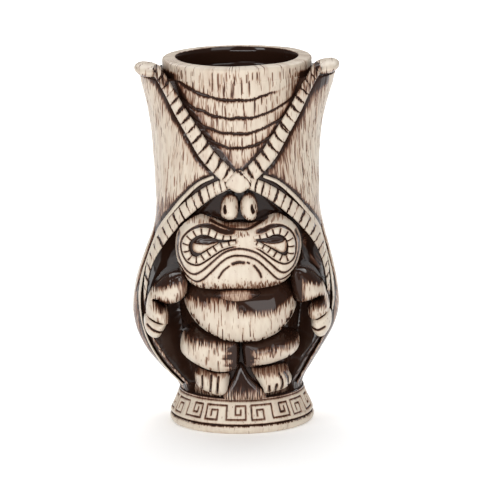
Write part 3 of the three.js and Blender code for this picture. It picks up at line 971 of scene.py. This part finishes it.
def attribute(tree, name, output="Fac"):
    node = tree.nodes.new("ShaderNodeAttribute")
    node.attribute_name = name
    return node.outputs[output]


# Widths of the patterns in the glaze, in millimetres.
WAVE = (7, 7, 12)                # the waves that bend the strokes
WAVE_REACH = (2.4, 2.4, 0)       # how far they bend them
STREAK = 0.6                     # the streaks in the edge of the dark glaze
MOTTLE = (4, 4, 16)              # soft stains in the cream
SPECK = (0.6, 0.6, 0.6)          # small dark specks
SPECK_STRENGTH = 0.1

CREAM = (0.66, 0.575, 0.468)
PALE = (0.57, 0.465, 0.37)
TAN = (0.42, 0.285, 0.2)
BROWN = (0.13, 0.052, 0.029)
DARK = (0.027, 0.0115, 0.007)
# Colour and roughness from bare cream glaze at 0 to the darkest at 1.
COLOURS = ((0.0, CREAM), (0.16, PALE), (0.36, TAN), (0.62, BROWN), (0.88, DARK))
ROUGHNESS = ((0.0, (0.34,) * 3), (0.45, (0.26,) * 3), (0.85, (0.06,) * 3))
GLAZE_IOR = 1.42
GLAZE_SPECULAR = 0.42
STROKE_RELIEF = 0.0003           # how deep the brush strokes lie in the glaze, in metres


def brush_strokes(tree, place, brush, width, length):
    """Thin wavy strokes, few where `brush` is low and closed up where it is 1."""
    sway = tree.nodes.new("ShaderNodeVectorMath")
    sway.operation = "MULTIPLY_ADD"
    feed(tree, sway, {0: cloud(tree, place, WAVE, 1)[1], 1: WAVE_REACH, 2: place})
    swayed = scaled(tree, sway.outputs["Vector"], (width, width, length))
    cells = add_node(tree, "TexVoronoi", {"Vector": swayed, "Scale": 1.0})
    reach = maths(tree, "MULTIPLY_ADD", brush, 0.95, 0.1)
    core = maths(tree, "MULTIPLY", reach, 0.55)
    stroke = spread(tree, cells.outputs["Distance"], reach, core)
    split = add_node(tree, "SeparateColor", {"Color": cells.outputs["Color"]})
    strength = maths(tree, "MULTIPLY_ADD", split.outputs["Red"], 0.45, 0.55)
    return maths(tree, "MULTIPLY", stroke, strength)


def feathered(tree, place, ink, length, strength):
    """Ink whose soft edges break up into streaks."""
    lines = spread(tree, cloud(tree, place, (STREAK, STREAK, length), 1)[0], 0.36, 0.64)
    sign = maths(tree, "SUBTRACT", lines, 0.5)
    soft = maths(tree, "MULTIPLY", ink, maths(tree, "SUBTRACT", 1.0, ink))
    swing = maths(tree, "MULTIPLY", sign, maths(tree, "MULTIPLY", soft, strength))
    return maths(tree, "ADD", ink, swing, clamp=True)


def glaze(name, stroke_width, stroke_length, mottle_strength, feather_strength):
    """Cream glaze, dry-brushed with brown, under dark gloss where the clay is low."""
    material, tree, bsdf = shader(name)
    place = attribute(tree, "paint_at", "Vector")
    brush, ink = attribute(tree, "brush"), attribute(tree, "ink")
    strokes = brush_strokes(tree, place, brush, stroke_width, stroke_length)
    painted = maths(tree, "MULTIPLY", strokes, maths(tree, "MULTIPLY_ADD", brush, 0.2, 0.56))
    wash = maths(tree, "MULTIPLY", brush, maths(tree, "MULTIPLY", brush, 0.4))
    dark_glaze = feathered(tree, place, ink, stroke_length, feather_strength)
    painted = maths(tree, "MAXIMUM", maths(tree, "MAXIMUM", painted, wash), dark_glaze)
    mottle = spread(tree, cloud(tree, place, MOTTLE, 3)[0], 0.4, 0.8)
    speck = spread(tree, cloud(tree, place, SPECK, 1)[0], 0.66, 0.8)
    stain = maths(tree, "ADD", maths(tree, "MULTIPLY", mottle, mottle_strength),
                  maths(tree, "MULTIPLY", speck, SPECK_STRENGTH))
    total = maths(tree, "ADD", painted, stain, clamp=True)
    bare = maths(tree, "SUBTRACT", 1.0, ink, clamp=True)
    bump = add_node(tree, "Bump", {"Strength": 0.4, "Distance": STROKE_RELIEF,
                                   "Height": maths(tree, "MULTIPLY", strokes, bare)})
    bump.invert = True
    feed(tree, bsdf, {"Base Color": ramp(tree, total, COLOURS),
                      "Roughness": ramp(tree, total, ROUGHNESS),
                      "IOR": GLAZE_IOR, "Specular IOR Level": GLAZE_SPECULAR,
                      "Normal": bump.outputs["Normal"]})
    return material


# ---- build the front -------------------------------------------------------------------------

# Width and length of a brush stroke, strength of the stains, and of the streaks in dark edges.
MATERIALS = {
    "bark": glaze("bark_glaze", 0.75, 15, 0.26, 2.0),
    "skin": glaze("skin_glaze", 0.75, 9, 0.22, 3.8),
    "face": glaze("face_glaze", 0.8, 3, 0.2, 0.9),
}


def gap_beside(points):
    """Distance from the nearer of a band and its mirror image, over the grid."""
    gap = np.minimum(band_frame(points, -1)[2], band_frame(points, 1)[2])
    return np.clip(gap, 0, ASIDE_LIMIT)


BROW_SEAM = gap_beside(BROW_LINE)
SEAM = np.minimum(np.minimum(BROW_SEAM, gap_beside(ARCH_LINE)), gap_beside(RAIL_LINE))

build_bands()
build_crossing()
build_forehead()
build_head()
build_eyes()
build_nose()
build_lip()
build_belly()
build_legs()
build_cloth()
build_arms()

# The front as one surface, and how it looks evened out over a small, a middle and a wide spot.
skin_map = np.where(in_niche(X, Z) < 0, NICHE_MAP, BODY_MAP)
skin_map = np.where(in_forehead(X, Z) < 0, pieces["forehead_panel"]["front"], skin_map)
skin_map = np.where(Z > CAPE_TOP, np.sqrt(np.clip(RIM ** 2 - X ** 2, 0, None)), skin_map)
for piece in pieces.values():
    piece_front = np.where(piece["inside"] < 0, piece["front"], NOWHERE)
    skin_map = most(skin_map, piece_front)
NEAR = blur(skin_map, 0.9)
MIDDLE = blur(skin_map, 2.2)
WIDE = blur(skin_map, 4.5)


def pooling(x, depth, z, wide_share=1.0):
    """How much dark glaze gathers at a point of the front, from how low it lies."""
    fine = ease(0.2, 0.8, sample(NEAR, x, z) - depth)
    middle = ease(0.6, 2.4, sample(MIDDLE, x, z) - depth)
    wide = 0.85 * ease(1.4, 5.0, sample(WIDE, x, z) - depth)
    return most(0.95 * fine, middle, wide_share * wide)


def build_relief(name, piece):
    points, quads = relief_mesh(piece)
    x, depth, z = points.T
    low = pooling(x, depth, z, piece["wide"])
    ink = most(low, sample(piece["ink"], x, z))
    brush = sample(piece["brush"], x, z) + 0.6 * low
    paint_at = flat_paint(x, z)
    if name == "forehead_panel":
        paint_at = round_paint(rim_turn(x), z, RIM)
    make_object(name, points, quads, paint_at, ink, brush, MATERIALS[piece["skin"]])


for piece_name, clay in pieces.items():
    build_relief(piece_name, clay)

# ---- turned pieces ---------------------------------------------------------------------------


def ring_surface(name, loop_points, paint, skin, around, shape=None):
    """A closed surface round the axis from a closed loop of (radius, height) points."""
    loop = np.asarray(loop_points, float)
    angle = np.linspace(0, 2 * math.pi, around, endpoint=False)
    radius, height = (np.repeat(loop[:, k][None, :], around, 0) for k in range(2))
    turn = np.repeat(angle[:, None], len(loop), 1)
    if shape is not None:
        radius, height = shape(turn, radius, height)
    points = np.stack([radius * np.sin(turn), radius * np.cos(turn), height], -1)
    quads = outward(points.reshape(-1, 3), wrapped(around, len(loop)))
    ink, brush = paint(turn, radius, height)
    paint_at = round_paint(turn, height, RIM).reshape(-1, 3)
    make_object(name, points.reshape(-1, 3), quads, paint_at, ink.ravel(), brush.ravel(),
                MATERIALS[skin])


def wrapped(around, count):
    """Quads of a grid that closes on itself both ways."""
    i, j = np.meshgrid(np.arange(around), np.arange(count), indexing="ij")
    k, m = (i + 1) % around, (j + 1) % count
    corners = (i * count + j, k * count + j, k * count + m, i * count + m)
    return np.stack(corners, -1).reshape(-1, 4)


def spaced(points, gap):
    """The same loop of points with more between them, no further apart than `gap`."""
    out = []
    for a, b in zip(points, points[1:] + points[:1]):
        a, b = np.array(a, float), np.array(b, float)
        count = max(1, int(math.ceil(np.hypot(*(b - a)) / gap)))
        out += [tuple(a + (b - a) * t / count) for t in range(count)]
    return out


RIM_OUTER = 1.5                  # rounding of the rim's outer edge
SLOPE_WIDTH, SLOPE_HEIGHT = 1.2, 3.2        # of the slope inside the mouth
RIM_BOTTOM = 171.4


def quarter(radius, height, width, rise, start):
    """Nine (radius, height) points along a quarter of an ellipse, from the angle `start`."""
    return [(radius + width * math.cos(a), height + rise * math.sin(a))
            for a in np.linspace(start, start + math.pi / 2, 9)]


def build_rim():
    loop = [(RIM, RIM_BOTTOM)]
    loop += quarter(RIM - RIM_OUTER, HEIGHT - RIM_OUTER, RIM_OUTER, RIM_OUTER, 0)
    loop += quarter(MOUTH + SLOPE_WIDTH, HEIGHT - SLOPE_HEIGHT, SLOPE_WIDTH, SLOPE_HEIGHT,
                    math.pi / 2)
    loop += [(MOUTH, RIM_BOTTOM)]

    def shape(turn, radius, height):
        top = ease(173, HEIGHT, height)
        slope = 0.4 * ease(MOUTH, RIM, radius) + 0.8 * ease(-0.2, 1, np.cos(turn))
        ripple = 0.15 * noise(turn * 2.2, radius * 0, 81)
        return (radius + 0.12 * noise(turn * 3, height / 5, 80),
                height - top * (slope + 0.2 - ripple))

    def paint(turn, radius, height):
        inside = ease(MOUTH + 0.9, MOUTH + 0.45, radius)
        outside = ease(RIM - 1, RIM - 0.2, radius)
        strokes = 0.26 * outside * ease(HEIGHT - 1.5, HEIGHT - 4.5, height)
        arc = (turn + math.pi) % (2 * math.pi) - math.pi
        marks = lip_cuts(arc * RIM, height, 0.7) * outside * ease(HEIGHT - 2.6, HEIGHT - 4, height)
        beside = ease(0.72, 0.86, np.abs(np.sin(turn))) * ease(176, 173.4, height)
        wash = 0.18 * ease(HEIGHT - 4, HEIGHT - 1.5, height)
        return most(inside, 0.85 * marks, beside * outside), 0.06 + wash + strokes

    ring_surface("rim_lip", spaced(loop, 0.6), paint, "bark", 400, shape)


CUP_FLOOR = 22
CUP_WALL = 3.4
HUB = 2                          # radius of the thin hole in the middle of the cup and the foot


def build_cup():
    inside = [(MOUTH + 0.05, CAPE_TOP), (MOUTH - 0.5, 168.5), (MOUTH + 0.6, 166.5),
              (CUP - CUP_WALL, 70), (CUP - 5.4, 40), (CUP - 10, 25), (CUP - 13, CUP_FLOOR),
              (HUB, CUP_FLOOR)]
    outside = [(HUB, CAPE_BOTTOM)] + [(radius, height) for height, radius in CUP_OUTSIDE[:-1]]
    loop = spaced(inside + outside + [(CUP, CAPE_TOP)], 1.2)

    def paint(turn, radius, height):
        outer = radius > table(height, CUP_OUTSIDE, 1) - 1
        thin = 0.35 * outer * ease(29, 20, height) * (np.cos(turn) > 0)
        return 0.95 - thin, 1.0 - 1.2 * thin

    ring_surface("cup_wall", loop, paint, "skin", 220)


CAPE_AROUND, CAPE_UP = 560, 150  # points round the cape and up it
CAPE_WALL = 2.4                  # how far its hidden side reaches into the wall of the cup
CAPE_LEAN = 0.2                  # how far the bark's strokes lean at the sides
CAPE_MIDDLE = 130                # height where they cross their upright places


def cape_marks(turn, z):
    """Knife cuts in the bark, longer and wider than on the figure."""
    arc = (turn + 0.3 * np.sin(turn)) * CYLINDER + CAPE_LEAN * (z - CAPE_MIDDLE) * np.sin(turn)
    fine = dashes(arc, z, 90, pitch=3.0, run=9, share=0.6, width=0.3)
    long = dashes(arc, z, 96, pitch=5.5, run=16, share=0.5, width=0.36)
    patchy = 0.25 + 0.75 * ease(-0.5, 0.3, noise(arc / 13, z / 26, 95))
    return most(fine, long) * patchy


def cape_paint(x, z, turn, seam, brow, niche):
    """Ink and brush strokes of the cape: bark all round, darker beside the bands in front."""
    side = np.abs(x)
    blotch = 0.14 * (1 + noise(turn * CYLINDER / 9, z / 22, 93))
    # Brown spreads out from the bands, most on the figure's left, and at the waist on its right.
    below = np.exp(-brow / 6) * ease(0, 6, x)
    lower = ease(66, 48, z) * ease(0, 20, x) * ease(12, 4, seam)
    waist = ease(120, 108, z) * ease(-26, -36, x) * ease(10, 3, seam)
    brush = 0.06 + blotch + 0.5 * np.exp(-seam / 3.5) + 0.6 * below + 0.8 * lower
    brush = brush + 0.3 * np.exp(-(z - CAPE_BOTTOM) / 4) + 0.6 * waist
    # Dark glaze fills the niche and the gap inside the rails, and lies under the ears.
    gap = ease(0.4, -0.4, between(RAIL_LINE, x, z)) * (niche > 0) * (niche < IN_FRONT)
    start = 166.5 - 4 * (x > 0) + 0.5 * (side - 38)
    under_ear = 0.85 * ease(start, start + 4, z + 1.6 * noise(x / 1.3, z / 9, 99))
    under_ear = under_ear * ease(33, 38, side) * (seam < IN_FRONT)
    beside = ease(3.4, 1.4, brow) * ease(-0.4, 0.4, brow)
    beside_left = 0.62 * ease(4.5, 1.5, brow) * (x > 3)
    top_edge = 0.9 * ease(CAPE_TOP - 1.2, CAPE_TOP - 0.2, z)
    ink = most(ease(1.6, 0.4, niche), ease(1.6, 0.8, seam), gap, under_ear, 0.9 * beside,
               beside_left, 0.75 * lower, top_edge)
    return ink, brush


def cape_feather(x, z, niche):
    """Brown streaks in the dark edge of the niche, and what is left of the teeth low in it."""
    upper = ease(-6.5, -1, niche) * ease(100, 90, z) * ease(66, 74, z)
    upper = upper * (0.5 + 0.5 * noise(x / 1.1, z / 7, 97)) * (x > 0)
    teeth = bell(niche + 4, 1.1) * ease(64, 54, z) * ease(22, 30, z)
    return most(upper, 1.6 * teeth * ease(0, 0.5, noise(x / 2, z / 1.8, 98)))


def ahead(distance, c):
    """A distance worked out on the front view, and far away on the back, by cos(turn)."""
    return np.where(c > 0, distance, 0) + ASIDE_LIMIT * ease(0.15, 0.02, c)


def niche_floor(z, c, niche, body):
    """Radius that the cape sinks to in the niche, with a low ridge along its roof."""
    floor = most(table(z, CUP_OUTSIDE, 1) - 1, NICHE_BACK / np.clip(c, 0.2, 1))
    return np.minimum(floor + 2 * bell(niche + 4.2, 0.6) * ease(84, 92, z), body)


def closed(outside, inside):
    """Values up the outside of the cape, then of every tenth point back down the inside."""
    return np.concatenate([outside, inside[:, ::10][:, ::-1]], 1)


def close_cape(turn, z, outer, ink, brush):
    """Makes the cape from the radius of its outside, with a plain inside behind the cup's wall."""
    inner = table(z, CUP_OUTSIDE, 1) - CAPE_WALL
    loops = closed(*(np.stack([radius * np.sin(turn), radius * np.cos(turn), z], -1)
                     for radius in (outer, inner)))
    points, unseen = loops.reshape(-1, 3), np.ones(ink.shape)
    lean = CAPE_LEAN * (z - CAPE_MIDDLE) / CYLINDER * np.sin(turn)
    paint_at = round_paint(turn + lean, z)
    make_object("bark_cape", points, outward(points, wrapped(CAPE_AROUND, loops.shape[1])),
                closed(paint_at, paint_at).reshape(-1, 3), closed(ink, unseen).ravel(),
                closed(brush, unseen).ravel(), MATERIALS["bark"])


def build_cape():
    # The points are closer together at the front.
    angle = np.linspace(0, 2 * math.pi, CAPE_AROUND, endpoint=False)
    height = np.linspace(CAPE_BOTTOM - 0.2, CAPE_TOP, CAPE_UP)
    turn, z = np.meshgrid(angle - 0.3 * np.sin(angle), height, indexing="ij")
    s, c = np.sin(turn), np.cos(turn)
    body = 1 / np.sqrt((s / half_width(s, z)) ** 2 + (c / table(z, BODY, 3)) ** 2)
    x, depth = body * s, body * c
    niche, brow = ahead(in_niche(x, z), c), ahead(in_forehead(x, z), c)
    seam, brow_seam = ahead(sample(SEAM, x, z), c), ahead(sample(BROW_SEAM, x, z), c)
    marks = cape_marks(turn, z)
    radius = body + 0.3 * grain(turn * CYLINDER, z, 91) - 0.8 * bell(seam, 1.3) - 0.35 * marks
    # It sinks to the niche inside the arch bands, and under the forehead between the brow bands.
    sunk = ease(0.8, -0.8, niche) * (depth > NICHE_BACK)
    radius = radius * (1 - sunk) + niche_floor(z, c, niche, body) * sunk
    hidden = ease(0.8, -0.8, brow)
    radius = radius * (1 - hidden) + (RIM - 3.5) * hidden
    x, depth = radius * s, radius * c
    ink, brush = cape_paint(x, z, turn, seam, brow_seam, niche)
    low = np.where(c > 0, pooling(x, depth, z, 0.2) * ease(0.1, 0.3, c), 0)
    ink = most(ink, 0.56 * marks, low) * (1 - 0.5 * cape_feather(x, z, niche))
    close_cape(turn, z, radius, ink, brush)


KEY_UNITS = 9
KEY_UNIT_WIDTH = math.radians(35)
# One key, as (angle in units of its width from the middle, height above the foot's groove).
KEY_LINE = ((-0.36, 4.4), (-0.36, 7), (-0.2, 7), (-0.2, 2.6), (-0.5, 2.6), (-0.5, 9.2),
            (0.03, 9.2), (0.03, 2.8), (0.5, 2.8), (0.5, 9), (0.25, 9), (0.25, 5), (0.38, 5),
            (0.38, 7.2))
KEY_OFFSET = math.radians(-14.4)
KEY_RADIUS = 33                  # mean radius that the keys are laid out on
KEY_LINE_WIDTH = 0.5
# Height and radius of the base's flare.
FLARE = ((2, 35.3), (5, 35), (9, 33.3), (13, 31.6), (17, 30.2))
BASE_INSIDE = 24.0
FOOT_ROUND = 2.2                 # rounding of the foot's lower edge
FOOT_RECESS = 2.0                # height of the recess under it
FOOT_INSIDE = 26                 # inner radius of the ring that it rests on


def key_ink(turn, z):
    """1 on the lines of the key pattern."""
    pitch = 2 * math.pi / KEY_UNITS
    local = (turn - KEY_OFFSET + pitch / 2) % pitch - pitch / 2
    width = KEY_UNIT_WIDTH * KEY_RADIUS
    line = [(across * width, height) for across, height in KEY_LINE]
    away = np.full(turn.shape, FAR)
    for a, b in zip(line, line[1:]):
        away = np.minimum(away, to_segment(local * KEY_RADIUS, z - FOOT_TOP, a, b)[0])
    return bell(away, KEY_LINE_WIDTH, 4)


def build_key_band():
    top, bottom = CAPE_BOTTOM + 0.6, FOOT_TOP
    heights = np.linspace(bottom, top, 42)
    loop = list(zip(table(heights, FLARE, 1), heights))
    loop += [(BASE_INSIDE, top), (BASE_INSIDE, bottom)]

    def shape(turn, radius, height):
        outer = radius > BASE_INSIDE + 1
        line = bell(height - (top - 1.1), 0.4)
        lower = bell(height - bottom, 0.7)
        wobble = 0.1 * noise(turn * 5, height / 4, 84)
        cut = wobble - 0.7 * key_ink(turn, height) - 0.6 * line - 1.0 * lower
        return radius + outer * cut, height

    def paint(turn, radius, height):
        line = bell(height - (top - 1.1), 0.45)
        lower = ease(bottom + 1.2, bottom + 0.3, height)
        upper = ease(top - 0.7, top, height)
        ink = most(0.74 * key_ink(turn, height), 0.8 * line, lower, upper)
        return ink, 0.12 + 0.1 * noise(turn * 3, height / 9, 87)

    ring_surface("key_band", loop, paint, "face", 760, shape)


def build_foot_ring():
    side = [(FOOT - FOOT_ROUND + FOOT_ROUND * math.cos(a), FOOT_ROUND + FOOT_ROUND * math.sin(a))
            for a in np.linspace(-math.pi / 2, math.radians(50), 13)]
    loop = [(HUB, FOOT_RECESS), (FOOT_INSIDE - 1.4, FOOT_RECESS), (FOOT_INSIDE, 0.0)] + side
    loop += [(FOOT - 1.6, FOOT_TOP + 0.3), (HUB, FOOT_TOP + 0.3)]

    def paint(turn, radius, height):
        seen = radius > FOOT_INSIDE
        return seen * ease(FOOT_TOP - 1.0, FOOT_TOP, height), 0.16 * seen

    ring_surface("foot_ring", spaced(loop, 0.7), paint, "skin", 400)


EARS = {"right": (-42.6, 8.0, 174.6), "left": (42.6, 8.0, 175)}        # x, depth and z
EAR_HALF = np.array((6.8, 12.5, 3.4))
EAR_TILT = 0.16                  # how fast the ears climb outwards
EAR_MARGIN = 2.5


def build_ears():
    for word, side in SIDES.items():
        centre = np.array(EARS[word])

        def height(x, z):
            return z - EAR_TILT * side * (x - centre[0]) - centre[2]

        def cuts(x, depth, z):
            return dashes(x + 0.6 * depth, z, 95 + side, pitch=3.2, run=6, share=0.6)

        low = centre - EAR_HALF - EAR_MARGIN
        counts = np.ceil((2 * EAR_HALF + 2 * EAR_MARGIN) / STEP).astype(int)
        axes = [low[k] + STEP * np.arange(counts[k]) for k in range(3)]
        x, depth, z = np.meshgrid(*axes, indexing="ij")
        q = (np.abs((x - centre[0]) / EAR_HALF[0]) ** 2.4
             + np.abs((depth - centre[1]) / EAR_HALF[1]) ** 2
             + np.abs(height(x, z) / EAR_HALF[2]) ** 2) ** 0.5
        field = (q - 1) * EAR_HALF.min() + 0.15 * cuts(x, depth, z)
        points, quads = surface(most(field, RIM + 0.5 - np.hypot(x, depth)), low)
        x, depth, z = points.T
        lower = height(x, z)
        ink = most(ease(-1.2, -2.8, lower), ease(39.2, 37.6, np.abs(x)), 0.35 * cuts(x, depth, z))
        brush = 0.14 + 0.6 * ease(0.6, -2.4, lower) + 0.3 * ease(42, 38, np.abs(x))
        make_object(f"ear_{word}", points, quads, flat_paint(x, z), ink, brush,
                    MATERIALS["skin"])


build_rim()
build_cup()
build_cape()
build_key_band()
build_foot_ring()
build_ears()

# ---- floor, light and camera -----------------------------------------------------------------


FLOOR_SIZE = 6.0                 # half its side, in metres
FLOOR_COLOURS = ((0.0, (0.96,) * 3), (1.0, (0.98,) * 3))
FLOOR_GLOW = 0.16                # the floor is lit a little from below, like a light table
WORLD_STRENGTH = 0.14
MIDDLE_HEIGHT = (0, 0, 0.09)
# Name, place and target in metres, width and height, and power in watts.
SOFTBOXES = (
    ("main_softbox", (0.58, -0.95, 0.95), MIDDLE_HEIGHT, (0.85, 1.0), 7.8),
    ("left_softbox", (-1.15, -1.05, 0.9), MIDDLE_HEIGHT, (0.55, 0.7), 7.5),
    ("low_softbox", (-0.3, -1.5, 0.22), (0, 0, 0.02), (1.4, 0.3), 8.5),
    ("top_softbox", (-0.1, 0.1, 1.5), MIDDLE_HEIGHT, (0.8, 0.6), 3),
    ("floor_softbox", (0, 1.5, 1.3), (0, 1.7, 0), (3.0, 2.0), 50),
)


def build_floor():
    mesh = bpy.data.meshes.new("studio_floor")
    corners = [(x * FLOOR_SIZE, y * FLOOR_SIZE, 0)
               for x, y in ((-1, -1), (1, -1), (1, 1), (-1, 1))]
    mesh.from_pydata(corners, [], [(0, 1, 2, 3)])
    material, tree, bsdf = shader("studio_floor")
    place = tree.nodes.new("ShaderNodeTexCoord").outputs["Object"]
    haze = cloud(tree, place, (0.5, 0.5, 0.5), 2)[0]
    feed(tree, bsdf, {"Base Color": ramp(tree, haze, FLOOR_COLOURS), "Roughness": 0.9,
                      "Emission Color": (1, 1, 1, 1), "Emission Strength": FLOOR_GLOW})
    mesh.materials.append(material)
    floor = bpy.data.objects.new("studio_floor", mesh)
    bpy.context.scene.collection.objects.link(floor)


def softbox(name, place, target, size, power):
    light = bpy.data.lights.new(name, "AREA")
    light.shape = "RECTANGLE"
    light.size, light.size_y = size
    light.energy = power
    obj = bpy.data.objects.new(name, light)
    obj.location = place
    obj.rotation_euler = (Vector(target) - Vector(place)).to_track_quat("-Z", "Y").to_euler()
    bpy.context.scene.collection.objects.link(obj)


def build_light():
    scene = bpy.context.scene
    scene.view_settings.view_transform = "Standard"
    world = bpy.data.worlds.new("studio")
    scene.world = world
    world.use_nodes = True
    background = world.node_tree.nodes["Background"]
    background.inputs["Color"].default_value = (1, 1, 1, 1)
    background.inputs["Strength"].default_value = WORLD_STRENGTH
    for name, place, target, size, power in SOFTBOXES:
        softbox(name, place, target, size, power)


CAMERA_BACK = 1.8586             # horizontal distance from the cup's axis, in metres
CAMERA_UP = 0.4634
CAMERA_ROLL = math.radians(0.87)
FOCAL = 292.1                    # millimetres, on the 36 mm sensor
AIM = (0.00025, 0, 0.08875)      # the point in the middle of the frame, from the axis


def build_camera():
    camera = bpy.data.cameras.new("camera")
    camera.lens = FOCAL
    camera.sensor_width = 36
    obj = bpy.data.objects.new("camera", camera)
    place = AXIS + Vector((0, -CAMERA_BACK, CAMERA_UP))
    aim = AXIS + Vector(AIM)
    look = (aim - place).to_track_quat("-Z", "Y").to_matrix().to_4x4()
    obj.matrix_world = Matrix.Translation(place) @ look @ Matrix.Rotation(-CAMERA_ROLL, 4, "Z")
    bpy.context.scene.collection.objects.link(obj)
    bpy.context.scene.camera = obj


build_floor()
build_light()
build_camera()
